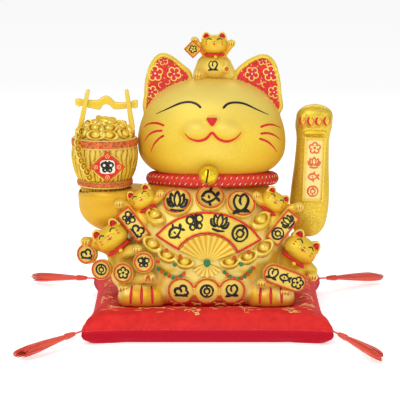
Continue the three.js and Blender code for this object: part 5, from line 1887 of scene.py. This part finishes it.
def flower(strokes, surface, at, size, turn=0.0):
    """A plum blossom outlined in gold, with stamens."""
    for k in range(5):
        a = math.radians(turn + 72 * k)
        cx, cz = at[0] + 0.3 * size * math.cos(a), at[1] + 0.3 * size * math.sin(a)
        petal = arc(cx, cz, 0.2 * size, math.degrees(a) - 130, math.degrees(a) + 130)
        strokes.line(surface, petal, 0.095 * size, MATERIALS["gilt_line"], 0.4)
        tip = (at[0] + 0.24 * size * math.cos(a + 0.6), at[1] + 0.24 * size * math.sin(a + 0.6))
        strokes.dot(surface, tip, 0.045 * size, MATERIALS["cream"], 0.5)
    strokes.dot(surface, at, 0.075 * size, MATERIALS["cream"], 0.6)


# The pattern of the left ear, mirrored on the right one.
EAR_FLOWERS = ((-64.5, 309, 19, 20), (-41, 308.5, 17, 50), (-68.5, 286, 15, 0), (-54, 325, 12, 30))
EAR_DOTS = ((-31, 317), (-28.5, 312), (-35, 320), (-24.5, 309.5), (-31, 307), (-40, 319.5), (-58, 298),
            (-73, 276), (-66, 275.5), (-48, 317.5), (-72, 297), (-53, 303), (-74.5, 318), (-70, 322))
EAR_CURLS = ((-57, 295, 3.4, 60), (-49.5, 298.5, 3.2, 200), (-62, 319, 2.6, 30), (-60, 282, 2.6, 90))


def make_ear_panels():
    """The red panel in each ear's dish, its gold-outlined blossoms, dots and leaf curls."""
    surface = Surface(head)
    strokes = Strokes()
    for side in (-1, 1):
        outline = inset(EAR_OUTLINES[side], side * (EAR_RIM + 0.4))
        panel(strokes, surface, [tuple(p) for p in outline])
        mirror = (lambda x: x) if side < 0 else (lambda x: 14.2 - x)
        for x, z, size, turn in EAR_FLOWERS:
            flower(strokes, surface, (mirror(x), z), size, turn)
        for x, z in EAR_DOTS:
            strokes.dot(surface, (mirror(x), z), 1.1, MATERIALS["gilt_line"], 0.5)
        for x, z, radius, start in EAR_CURLS:
            curl = arc(mirror(x), z, radius, start, start + 210)
            strokes.line(surface, curl, 1.3, MATERIALS["gilt_line"], 0.4, (0.5, 1))
    settle(strokes.piece("ear_enamel"), ROOT, "red_glaze")


def panel(strokes, surface, outline):
    """Red enamel over the ear's dish: a grid of small tiles that follows the surface."""
    points = np.asarray(outline)
    low, high = points.min(axis=0), points.max(axis=0)
    step = 1.3
    xs = np.arange(low[0], high[0] + step, step)
    zs = np.arange(max(low[1], 262), high[1] + step, step)
    gx, gz = np.meshgrid(xs, zs, indexing="ij")
    skull = np.array([[head_covers(x, z) for z in zs] for x in xs])
    inside = (polygon_distance(gx, gz, outline) < 0.4) & ~skull
    verts, index = [], -np.ones(inside.shape, dtype=int)
    for i, j in np.argwhere(inside):
        index[i, j] = len(verts)
        verts.append(surface.at((xs[i], 0, zs[j]), 0.25)[0])
    faces = []
    for i in range(len(xs) - 1):
        for j in range(len(zs) - 1):
            corners = (index[i, j], index[i + 1, j], index[i + 1, j + 1], index[i, j + 1])
            if min(corners) >= 0:
                faces.append(corners)
    strokes.add(*thickened(np.array(verts), faces, 0.7), MATERIALS["ear_red"])


def head_covers(x, z):
    """Whether the skull stands in front of the ear at x and z."""
    half = float(column_at(HEAD_CURVE, z, 1)) if z < 305 else 0.0
    share = abs(x - HEAD_X) / max(half, 0.1)
    return share < 1 and half * HEAD_DEPTH * (1 - share ** HEAD_SQUARENESS) ** (1 / HEAD_SQUARENESS) > 3


def thickened(verts, faces, depth):
    """Closes a sheet of faces that looks towards -Y into a thin slab."""
    count = len(verts)
    back = verts + (0, depth, 0)
    edges = {}
    for face in faces:
        for a, b in zip(face, face[1:] + face[:1]):
            edges[(a, b)] = edges.get((a, b), 0) + 1
    rim = [(a, b) for a, b in edges if (b, a) not in edges]
    closed = list(faces) + [tuple(count + i for i in face[::-1]) for face in faces]
    closed += [(b, a, count + a, count + b) for a, b in rim]
    return np.vstack((verts, back)), closed


# ------------------------------------------------------------------ cushion

CUSHION = {"half": 140, "pinch": 9, "tip": 5, "draw": 0.009, "seam_z": 18, "top_z": 34}
SWELL_FRAMES = 20
SWELL_CAP = 7


def satin_material(name, colour, deep):
    """Brocade satin: fine weave, soft sheen, slight shade drift; darker below the seam and round the cat as
    painted shade, following the "amber" attribute.
    """
    material, nodes, links, shader = node_material(name)
    place = place_node(nodes, links)
    drift = noise_node(nodes, links, place, 0.03, 2.0)
    weave = nodes.new("ShaderNodeTexWave")
    set_inputs(weave, Scale=0.55, Distortion=0.6, Detail=1.0)
    links.new(place, weave.inputs["Vector"])
    figure = noise_node(nodes, links, place, 0.11, 1.0)
    tone = ramp_node(nodes, links, drift, [(0.35, tuple(c * 0.88 for c in colour)), (0.65, colour)])
    figures = range_node(nodes, links, figure, 0.52, 0.56, 0.0, 0.16)
    figured = mix_node(nodes, links, figures, tone, deep)
    below = mix_node(nodes, links, attribute_node(nodes, "amber"), figured, deep)
    links.new(below, shader.inputs["Base Color"])
    set_inputs(shader, Roughness=0.5, IOR=1.2, Sheen_Weight=0.04, Sheen_Roughness=0.4,
               Sheen_Tint=(1.0, 0.35, 0.25, 1), Anisotropic=0.3)
    bump_node(nodes, links, shader, weave.outputs["Fac"], 0.12, 0.15)
    return material


def pillow_mesh():
    """A flat square pillow: two grids sewn at a knife edge, corners drawn out, sides drawn in."""
    count = 56
    even = np.linspace(-1, 1, count + 1)
    share = 0.35 * even + 0.65 * np.sin(math.pi / 2 * even)
    u, v = np.meshgrid(share, share, indexing="ij")
    corner = (np.abs(u) * np.abs(v)) ** CUSHION["tip"]
    pull = 1 + CUSHION["pinch"] / CUSHION["half"] * corner
    draw = CUSHION["draw"]
    x = CUSHION["half"] * u * pull * (1 - draw * (1 - v ** 2) * np.abs(u) ** 3) * 0.99
    y = CUSHION["half"] * v * pull * (1 - draw * (1 - u ** 2) * np.abs(v) ** 3) * 0.99
    edge = (1 - np.abs(u) ** 10) * (1 - np.abs(v) ** 10)
    top = CUSHION["seam_z"] + (CUSHION["top_z"] - CUSHION["seam_z"] - 0.4) * edge ** 0.48
    under = CUSHION["seam_z"] - (CUSHION["seam_z"] - 0.4) * edge ** 0.15
    n = count + 1
    verts = np.concatenate([np.stack((x, y, z), -1).reshape(-1, 3) for z in (top, under)])
    faces = []
    for i in range(count):
        for j in range(count):
            a, b, c, d = i * n + j, (i + 1) * n + j, (i + 1) * n + j + 1, i * n + j + 1
            faces.append((a, b, c, d))
            faces.append((d + n * n, c + n * n, b + n * n, a + n * n))
    return verts, faces


def swell(cushion, cap):
    """Fills the cushion by cloth simulation under pressure; no point moves more than `cap` mm."""
    before = points_of(cushion)
    bpy.context.view_layer.objects.active = cushion
    cloth = cushion.modifiers.new("filling", "CLOTH")
    cloth.settings.quality = 6
    cloth.settings.mass = 0.3
    cloth.settings.tension_stiffness = 15
    cloth.settings.compression_stiffness = 3
    cloth.settings.bending_stiffness = 0.4
    cloth.settings.use_pressure = True
    cloth.settings.uniform_pressure_force = 4
    cloth.settings.effector_weights.gravity = 0
    cloth.point_cache.frame_start, cloth.point_cache.frame_end = 1, SWELL_FRAMES
    scene = bpy.context.scene
    for number in range(1, SWELL_FRAMES + 1):
        scene.frame_set(number)
    evaluated = cushion.evaluated_get(bpy.context.evaluated_depsgraph_get())
    after = np.empty(len(before) * 3)
    evaluated.data.vertices.foreach_get("co", after)
    after = after.reshape(-1, 3) / MM
    cushion.modifiers.remove(cloth)
    scene.frame_set(1)
    move = after - before
    length = np.linalg.norm(move, axis=1, keepdims=True)
    move *= np.minimum(1, cap / np.maximum(length, 1e-6))
    return before + move


def squared(points):
    """Filling draws the edges in: this brings the sides back out, and each corner's tip to its cord."""
    points = points.copy()
    beside = np.abs(points[:, 1]) < 25
    points[:, :2] *= CUSHION["half"] / np.max(np.abs(points[beside, 0]))
    tips = np.minimum(np.abs(points[:, 0]), np.abs(points[:, 1]))
    share = np.clip(np.abs(points[:, 0] * points[:, 1]) / tips.max() ** 2, 0, 1) ** 9
    share *= np.exp(-((points[:, 2] - CUSHION["seam_z"]) / 7) ** 2)
    points[:, :2] += np.sign(points[:, :2]) * (TASSEL_START + 0.5 - tips.max()) * share[:, None]
    return points


def footprint(points):
    """1 under the castings, falling to 0 away from them."""
    flat = np.stack((points[:, 0], points[:, 1], np.full(len(points), 40.0)), axis=1).astype(np.float32)
    return np.clip(1 - body_field(flat) / 16, 0, 1)


def make_cushion():
    """The cushion: filled by cloth simulation, then pressed flat under the cat."""
    verts, faces = pillow_mesh()
    cushion = clean(new_object("brocade_cushion", verts, faces, MATERIALS["satin"]))
    remesh = cushion.modifiers.new("even", "REMESH")
    remesh.mode = "VOXEL"
    remesh.voxel_size = 3.6 * MM
    apply_modifier(cushion, remesh)
    moved = squared(swell(cushion, SWELL_CAP))
    ripple = np.sin(moved[:, 0] * 0.11 + np.sin(moved[:, 1] * 0.07)) * np.cos(moved[:, 1] * 0.09 + 1)
    edge = np.maximum(np.abs(moved[:, 0]), np.abs(moved[:, 1]))
    pucker = np.clip((edge - 112) / 24, 0, 1)
    along = np.where(np.abs(moved[:, 0]) > np.abs(moved[:, 1]), moved[:, 1], moved[:, 0])
    rise = 0.5 * ripple + pucker * 0.8 * np.sin(along * 0.42 + 0.8 * np.sin(along * 0.13))
    top = moved[:, 2] > CUSHION["seam_z"] + 1
    moved[:, 2] += np.where(top, rise, 0)
    pressed = footprint(moved)
    ceiling = CUSHION["top_z"] + 4.5 * (1 - pressed) ** 2 * np.clip((140 - edge) / 20, 0, 1)
    moved[:, 2] = np.where(top, np.minimum(moved[:, 2], ceiling), moved[:, 2])
    moved[:, 2] = np.where(top & (pressed > 0.98), CUSHION["top_z"], moved[:, 2])
    wide = np.minimum(np.abs(moved[:, 0]), np.abs(moved[:, 1])) / CUSHION["half"]
    drawn_in = CUSHION["half"] * (1 - CUSHION["draw"] * (1 - wide ** 2))
    reach = 0.99 * (drawn_in + CUSHION["pinch"] * wide ** CUSHION["tip"])
    sagging = CUSHION["seam_z"] * np.clip(1 - (reach - edge) / (3 + 18 * wide ** 5), 0, 1) ** 1.2
    under = moved[:, 2] < CUSHION["seam_z"] - 1
    moved[:, 2] = np.where(under, np.minimum(moved[:, 2], sagging), moved[:, 2])
    moved[:, 2] = np.maximum(moved[:, 2], 0.0)
    cushion.data.vertices.foreach_set("co", (moved * MM).astype(np.float32).ravel())
    subdivide = cushion.modifiers.new("smooth", "SUBSURF")
    subdivide.levels = subdivide.render_levels = 1
    apply_modifier(cushion, subdivide)
    z = points_of(cushion)[:, 2]
    shade_smooth(cushion.data)
    settle(cushion, ROOT, "cushion_brocade", "cushion")
    # Painted shade: darker below the seam, and a painted contact shadow on the top round the cat's footprint.
    beside = 0.6 * np.clip(2 * footprint(points_of(cushion)) - 0.7, 0, 1)
    paint(cushion, amber=np.maximum(np.clip((CUSHION["seam_z"] + 1 - z) / 5, 0, 0.95), beside))
    return cushion


def seam_route(count=400):
    """The knife edge, anticlockwise."""
    route = []
    for k in range(4):
        for t in np.linspace(-1, 1, count // 4, endpoint=False):
            reach = CUSHION["half"] + CUSHION["pinch"] * abs(t) ** CUSHION["tip"]
            slide = 0.99 * t * reach
            reach *= 0.99 * (1 - CUSHION["draw"] * (1 - t ** 2))
            x, y = reach, slide
            for _ in range(k):
                x, y = -y, x
            route.append((x, y, CUSHION["seam_z"]))
    return np.array(route)


def make_seam(cushion):
    """The stitched edge: a fine rolled seam that follows the cushion's widest line."""
    found = []
    surface = tree_of(cushion)
    for place in seam_route():
        out = Vector((place[0], place[1], 0)).normalized()
        hit, _, _, _ = surface.ray_cast(Vector(place) + out * 60, -out, 120)
        found.append(hit if hit is not None else Vector(place))
    found = np.array(found)
    normals = found * (1, 1, 0)
    normals /= np.linalg.norm(normals, axis=1, keepdims=True)
    strokes = Strokes()
    strokes.add(*tube_mesh(found, normals, 0.9, 0.9, 6, closed=True), MATERIALS["seam"])
    settle(strokes.piece("cushion_seam"), ROOT, "cushion_brocade")


# Where each sprig grows on the top, its turn in degrees and its size.
SPRIGS = ((-70, -112, 15, 15), (48, -116, 60, 12), (-128, -60, 80, 13), (129, -50, 95, 13),
          (118, -100, 20, 9), (-20, -124, -10, 8), (-126, 30, 70, 14), (126, 40, 110, 14),
          (-60, 118, 190, 14), (30, 120, 160, 14), (100, 112, 200, 12), (-118, 105, 130, 12),
          (96, -124, -35, 8), (-112, -112, 40, 9))
WOVEN_DASHES = 110


def make_brocade(cushion):
    """Woven gold sprigs, low on the satin of the top."""
    flat = Surface(cushion, way=(0, 0, -1))

    class Top:
        def at(self, point, lift=0.0):
            x, y = np.clip((point[0], point[2]), -130, 130)
            return flat.at((x, y, 0), lift)

    top = Top()
    strokes = Strokes()
    rng = np.random.default_rng(11)
    gold = MATERIALS["brocade_gold"]

    def branch(x, y, turn, size):
        c, s = cos_sin(turn)

        def move(points):
            return [(x + size * (a * c - b * s), y + size * (a * s + b * c)) for a, b in points]

        for twig, width in (([(-1, -0.2), (-0.3, 0.1), (0.3, -0.05), (1, 0.25)], 1.1),
                            ([(-0.3, 0.1), (-0.1, 0.6), (0.2, 0.8)], 0.9),
                            ([(0.3, -0.05), (0.6, -0.4), (0.9, -0.45)], 0.9)):
            strokes.line(top, move(twig), width, gold, 0.3, (0.5, 0.5))
        for a, b in ((0.3, 0.95), (1.05, -0.5), (1.15, 0.3)):
            cx, cy = move([(a, b)])[0]
            for k in range(5):
                angle = math.radians(72 * k + turn)
                strokes.dot(top, (cx + 1.7 * math.cos(angle), cy + 1.7 * math.sin(angle)), 1.15, gold, 0.35)
        for _ in range(7):
            a, b = rng.uniform(-1, 1), rng.uniform(-0.5, 0.7)
            start = move([(a, b)])[0]
            end = move([(a + 0.18, b + rng.uniform(0.05, 0.2))])[0]
            strokes.line(top, [start, end], 0.8, gold, 0.3)

    for sprig in SPRIGS:
        branch(*sprig)
    for _ in range(WOVEN_DASHES):
        side = rng.integers(0, 4)
        a, b = rng.uniform(-130, 130), rng.uniform(108, 131)
        x, y = ((a, -b), (b, a), (a, b), (-b, a))[side]
        dash = [(x - rng.uniform(2, 5), y), (x, y + rng.uniform(-0.6, 0.6)), (x + rng.uniform(2, 5), y)]
        strokes.line(top, dash, 0.7, gold, 0.25, (0.4, 0.4))
    settle(strokes.piece("cushion_sprigs"), ROOT, "cushion_brocade")


# ------------------------------------------------------------------ everything together

def make_front_enamel(cats, coins, plaque_strokes):
    """Painted ornaments of the coins and signs, and the faces and claws of the four cats."""
    for i, ((x, z), motif) in enumerate(zip(LARGE_COINS.values(), (lotus, fish, peach))):
        surface = Surface(coins[i])
        draw_motif(plaque_strokes, surface, motif, (x, z), 26, MATERIALS["black"], thick=0.9, weight=1.1)
    for i, ((x, _, z, _), motif) in enumerate(zip(SMALL_COINS, (cloud, cash, blossom, butterfly))):
        surface = Surface(coins[3 + i])
        draw_motif(plaque_strokes, surface, motif, (x, z), 16, MATERIALS["black"], thick=0.8, weight=1.1)
    settle(plaque_strokes.piece("sign_enamel"), ROOT, "red_glaze")

    strokes = Strokes()
    for cat, piece in cats:
        surface = Surface(piece)
        cat.face(strokes, surface)
        cat.claws(strokes, surface)
    lower_left = Surface(cats[2][1])
    strokes.dot(lower_left, (-72, 73), 2.6, MATERIALS["red"], 1.2)
    settle(strokes.piece("little_cat_enamel"), ROOT, "red_glaze")


def make_paw_enamel():
    """The claw lines of the cat's own paws, and the red hem between them with its gold leaves."""
    surface = Surface(body)
    strokes = Strokes()
    for x in PAWS.values():
        for offset in (-12.8, 0, 12.8):
            line = [(x + offset * 0.92, 59), (x + offset, 50), (x + offset * 1.04, 38.5)]
            strokes.line(surface, line, 4.2, MATERIALS["crimson"], 0.6, (0.5, 0.6))
    hem = Strokes()
    hem_line = [(x, 38.2) for x in np.linspace(-47, 46, 9)]
    hem.line(surface, hem_line, 8.4, MATERIALS["crimson"], 1.0, spacing=1.5)
    gilt, above = MATERIALS["gilt_line"], Lifted(surface, 0.8)
    for start, end in ((-45, -24), (-20, -4), (6, 26), (28, 44)):
        middle = (start + end) / 2
        hem.line(above, [(start, 40.6), (middle, 38.6), (end, 40.8)], 1.5, gilt, 0.5)
        hem.line(above, [(start + 3, 36.4), (middle, 38.6), (end - 3, 36.2)], 1.2, gilt, 0.5)
    settle(strokes.piece("paw_enamel"), ROOT, "red_glaze")
    settle(hem.piece("hem_band"), ROOT, "red_glaze")


def make_plate_enamel():
    """Red borders and black ornaments of the fan and the three-lobed sign."""
    strokes = Strokes()
    leaf_surface = Surface(leaf)
    border = [tuple(p) for p in inset(LEAF_ARCS[0] + LEAF_ARCS[1], 1.6)]
    rim, hub = border[:24], border[24:]
    for line in (rim, hub, [rim[-1], hub[0]], [hub[-1], rim[0]]):
        strokes.line(leaf_surface, line, 2.6, MATERIALS["crimson"], 0.7)
    for angle, motif in ((133, fish), (105, butterfly), (74, lotus), (44, cash)):
        radius = (FAN["inner"] + FAN["outer"]) / 2
        at = (FAN["x"] + radius * math.cos(math.radians(angle)),
              FAN["z"] + radius * math.sin(math.radians(angle)) * FAN["squash"])
        draw_motif(strokes, leaf_surface, motif, at, 24, MATERIALS["black"], (90 - angle) * 0.8, 0.9, 1.0)
    lobes_surface = Surface(triple)
    strokes.line(lobes_surface, straightened(triple_outline(15.4)), 2.4, MATERIALS["red"], 0.7, closed=True)
    for x, motif in zip(LOBES, (cloud, cash, peach)):
        draw_motif(strokes, lobes_surface, motif, (x, LOBE_Z), 19.5, MATERIALS["black"], thick=0.9,
                   weight=1.15)
    settle(strokes.piece("fan_and_lobe_enamel"), ROOT, "red_glaze")


def straightened(outline):
    """The outline with points every 1.5 to 3 mm, so that a curve through them keeps its corners."""
    points = np.asarray(outline, dtype=float)
    made = []
    for a, b in zip(points, np.roll(points, -1, axis=0)):
        steps = max(1, int(np.linalg.norm(b - a) / 1.5))
        made += [tuple(a + (b - a) * i / steps) for i in range(steps)]
    return made


def nearness(thing, others, reach):
    """1 where a point of `thing` touches the other pieces, falling to 0 at `reach` mm."""
    tree = tree_of(*others)
    near = np.zeros(len(thing.data.vertices))
    for i, point in enumerate(points_of(thing)):
        hit = tree.find_nearest(Vector(point), reach)
        if hit[0] is not None:
            near[i] = 1 - hit[3] / reach
    return near


def paint_shade_and_highlights():
    """Painted shade and painted highlights on the castings, with pale edges beside the reliefs and red
    towards the body's base.
    """
    reliefs = coins + signs + [leaf, sticks, triple] + ingot_rows + [piece for _, piece in cats]
    points, normals = points_of(body), normals_of(body)
    near = nearness(body, reliefs, 9)
    # Body: darker low down; painted shade on faces that look down and under the collar; amber on the front
    # away from the reliefs; pale beside the reliefs; red towards the base and at the neck.
    low = np.clip((62 - points[:, 2]) / 26, 0, 1)
    under = np.clip(-normals[:, 2] * 1.2, 0, 1) * 0.6
    neck = np.clip((points[:, 2] - 166) / 12, 0, 1)
    front = points[:, 1] < -30
    paws = np.minimum(np.abs(points[:, 0] - PAWS[-1]), np.abs(points[:, 0] - PAWS[1])) < 31
    base = np.clip((50 - points[:, 2]) / 13, 0, 1) * np.where(paws, 0.5, 0.9)
    low *= np.where(paws, 0.4, 0.65)
    paint(body, amber=np.maximum.reduce([low, under, neck * 0.9, 0.4 * front * (1 - near)]),
          pale=np.clip(near * 1.6, 0, 0.85) * front * np.where(paws, 1 - low, 1),
          red=np.maximum(base, 0.35 * neck) * front)
    points, normals = points_of(head), normals_of(head)
    # Head: painted shade at the sides, low down, on the jowls and in the crease round the muzzle puffs;
    # painted highlights on the brow, on faces that look up, on the puffs and on the chin.
    side = np.clip((np.abs(points[:, 0] - HEAD_X) - 62) / 30, 0, 1) * (points[:, 2] < 262)
    low = np.clip((206 - points[:, 2]) / 22, 0, 1)
    jowl = np.clip((238 - points[:, 2]) / 26, 0, 1) * np.clip((np.abs(points[:, 0] - HEAD_X) - 30) / 40, 0, 1)
    puffed = np.minimum(*(muzzle_puff(points, x) for x in PUFFS))
    facing = points[:, 1] < -50
    crease = np.exp(-((puffed - 3.5) / 2.6) ** 2) * facing * np.clip((250 - points[:, 2]) / 12, 0, 1)
    puff = np.clip(1 - puffed / 2, 0, 1) * facing * np.exp(-((points[:, 2] - 247) / 7) ** 2)
    brow_highlight = np.exp(-((points[:, 2] - 285) / 22) ** 2) * (points[:, 1] < 0)
    chin = np.exp(-((points[:, 2] - 222) / 11) ** 2 - ((points[:, 0] - HEAD_X) / 34) ** 2) * facing
    paint(head, amber=np.maximum.reduce([0.5 * side ** 1.5, 0.7 * low, 0.55 * jowl, 0.6 * crease]),
          pale=np.clip(0.3 * brow_highlight + 0.5 * np.clip(normals[:, 2], 0, 1) + 0.3 * puff + 0.22 * chin, 0, 1))
    # Palm arm: painted shade, darker towards its bottom.
    points = points_of(palm)
    paint(palm, amber=np.clip(0.4 + (140 - points[:, 2]) / 60, 0.4, 0.75))
    # Little cats: painted shade round the neck under each head and on faces that look down; paler on the
    # parts away from the head.
    for cat, piece in cats + [(CROWN_CAT, crown)]:
        points, normals = points_of(piece), normals_of(piece)
        away = np.linalg.norm(local(points, cat.head), axis=1) / cat.r
        ring = np.exp(-((away - 1.1) / 0.16) ** 2) * (points[:, 2] < cat.head[2])
        paint(piece, amber=0.8 * ring + 0.3 * np.clip(-normals[:, 2], 0, 1),
              pale=0.4 * np.clip(away - 1.1, 0, 1))
    for sign in signs + [triple] + coins:
        paint(sign, pale=0.25, amber=0.0)
    # Ingots: painted shade on faces that look down.
    for thing in ingot_rows + [treasure]:
        normals = normals_of(thing)
        paint(thing, amber=np.clip(-normals[:, 2] * 0.8 + 0.1, 0, 0.7))


def standing(thing):
    """How far each point stands out of its surroundings (+) or sinks into them (-), in mm."""
    count = len(thing.data.vertices)
    edges = np.empty(2 * len(thing.data.edges), dtype=np.int64)
    thing.data.edges.foreach_get("vertices", edges)
    first, second = edges[0::2], edges[1::2]
    points = points_of(thing)
    degree = np.maximum(np.bincount(edges, minlength=count), 1)
    spacing = float(np.mean(np.linalg.norm(points[first] - points[second], axis=1)))
    even = points.copy()
    for _ in range(int(np.clip((2.6 / spacing) ** 2, 2, 16))):
        sums = [np.bincount(first, even[second, axis], count) + np.bincount(second, even[first, axis], count)
                for axis in range(3)]
        even = np.stack([total / degree for total in sums], axis=1)
    return np.einsum("ij,ij->i", points - even, normals_of(thing))


CREVICE_SHADED_GOLDS = ("relief_gold", "gilt", "gold_lustre", "reed_gold", "coin_face_gold")


def paint_crevice_shade_and_edge_highlights():
    """Painted shade left in the hollows and painted highlights along the edges that stand out, on the pieces
    finished in such gold.
    """
    for thing in bpy.data.objects:
        if thing.type != "MESH" or "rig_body" not in thing or not thing.data.materials:
            continue
        if thing.data.materials[0].name not in CREVICE_SHADED_GOLDS:
            continue
        height = standing(thing)
        # Painted shade where a point sinks into its surroundings, painted highlight where it stands out.
        for name, extra in (("amber", 0.85 * np.clip(-height / 0.3, 0, 1)),
                            ("pale", 0.6 * np.clip((height - 0.25) / 0.5, 0, 1))):
            layer = thing.data.attributes[name]
            share = np.empty(len(height), dtype=np.float32)
            layer.data.foreach_get("value", share)
            layer.data.foreach_set("value", np.maximum(share, extra).astype(np.float32))


def unpainted():
    """Pieces whose gold has no painted shade or highlights still carry its attributes."""
    for thing in bpy.data.objects:
        if thing.type == "MESH" and "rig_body" in thing and "amber" not in thing.data.attributes:
            paint(thing, amber=0.0)


def moulded_material(name, colour, roughness):
    """Moulded plastic or rubber with a fine grain."""
    material, nodes, links, shader = node_material(name)
    place = place_node(nodes, links)
    fine = noise_node(nodes, links, place, 0.6, 4.0, 0.6)
    darker = tuple(c * 0.8 for c in colour)
    links.new(ramp_node(nodes, links, fine, [(0.3, darker), (0.7, colour)]), shader.inputs["Base Color"])
    speckled_roughness(nodes, links, shader, fine, roughness - 0.05, roughness + 0.1)
    bump_node(nodes, links, shader, fine, 0.15, 0.1)
    return material


def metal_material(name, colour, roughness):
    """Turned or drawn metal with fine lines."""
    material, nodes, links, shader = node_material(name)
    place = place_node(nodes, links)
    stretch = nodes.new("ShaderNodeVectorMath")
    stretch.operation = "MULTIPLY"
    stretch.inputs[1].default_value = (1, 1, 30)
    links.new(place, stretch.inputs[0])
    lines = noise_node(nodes, links, stretch.outputs[0], 0.4, 3.0, 0.6)
    darker = tuple(c * 0.8 for c in colour)
    links.new(ramp_node(nodes, links, lines, [(0.3, darker), (0.7, colour)]), shader.inputs["Base Color"])
    speckled_roughness(nodes, links, shader, lines, roughness - 0.05, roughness + 0.12)
    set_inputs(shader, Metallic=1.0)
    bump_node(nodes, links, shader, lines, 0.1, 0.05)
    return material


CAD_FINISHES = {
    "bell_pellet": "steel", "pivot_shaft": "steel", "pendulum_bar": "steel", "pendulum_magnet": "steel",
    "battery_cell": "steel", "power_unit_screw_1": "steel", "power_unit_screw_2": "steel",
    "drive_coil": "copper", "mechanism_frame": "ivory", "power_switch": "ivory", "circuit_board": "board",
    "power_unit_housing": "plastic", "battery_door": "plastic", "base_plug": "rubber",
}


def finish_cad_nodes():
    """Finishes for the CAD nodes that stay as they are."""
    finishes = {
        "steel": metal_material("steel", (0.55, 0.56, 0.58), 0.3),
        "copper": metal_material("copper_wire", (0.72, 0.30, 0.14), 0.35),
        "ivory": moulded_material("ivory_plastic", (0.80, 0.76, 0.64), 0.45),
        "board": moulded_material("circuit_board", (0.02, 0.16, 0.06), 0.4),
        "plastic": moulded_material("black_plastic", (0.02, 0.02, 0.022), 0.5),
        "rubber": moulded_material("rubber", (0.025, 0.024, 0.023), 0.75),
    }
    for node, finish in CAD_FINISHES.items():
        thing = frame["nodes"][node]
        thing.data.materials.clear()
        thing.data.materials.append(finishes[finish])


make_floor()
MATERIALS["satin"] = satin_material("brocade_satin", (0.76, 0.026, 0.022), (0.45, 0.001, 0.018))
coins = make_coins()
signs, sign_strokes = make_plaques()
leaf, sticks = make_fan()
triple = make_triple_plaque()
ingot_rows = make_ingots()
make_beads()
cats = make_cats()
crown = make_crown_cat()
make_bucket()
make_handle()
treasure = make_treasure()
make_charm()
make_arm()
make_collar()
make_bell()
make_face()
make_ear_panels()
make_front_enamel(cats, coins, sign_strokes)
make_paw_enamel()
make_plate_enamel()
cushion = make_cushion()
make_seam(cushion)
make_brocade(cushion)
paint_shade_and_highlights()
finish_cad_nodes()
unpainted()
paint_crevice_shade_and_edge_highlights()
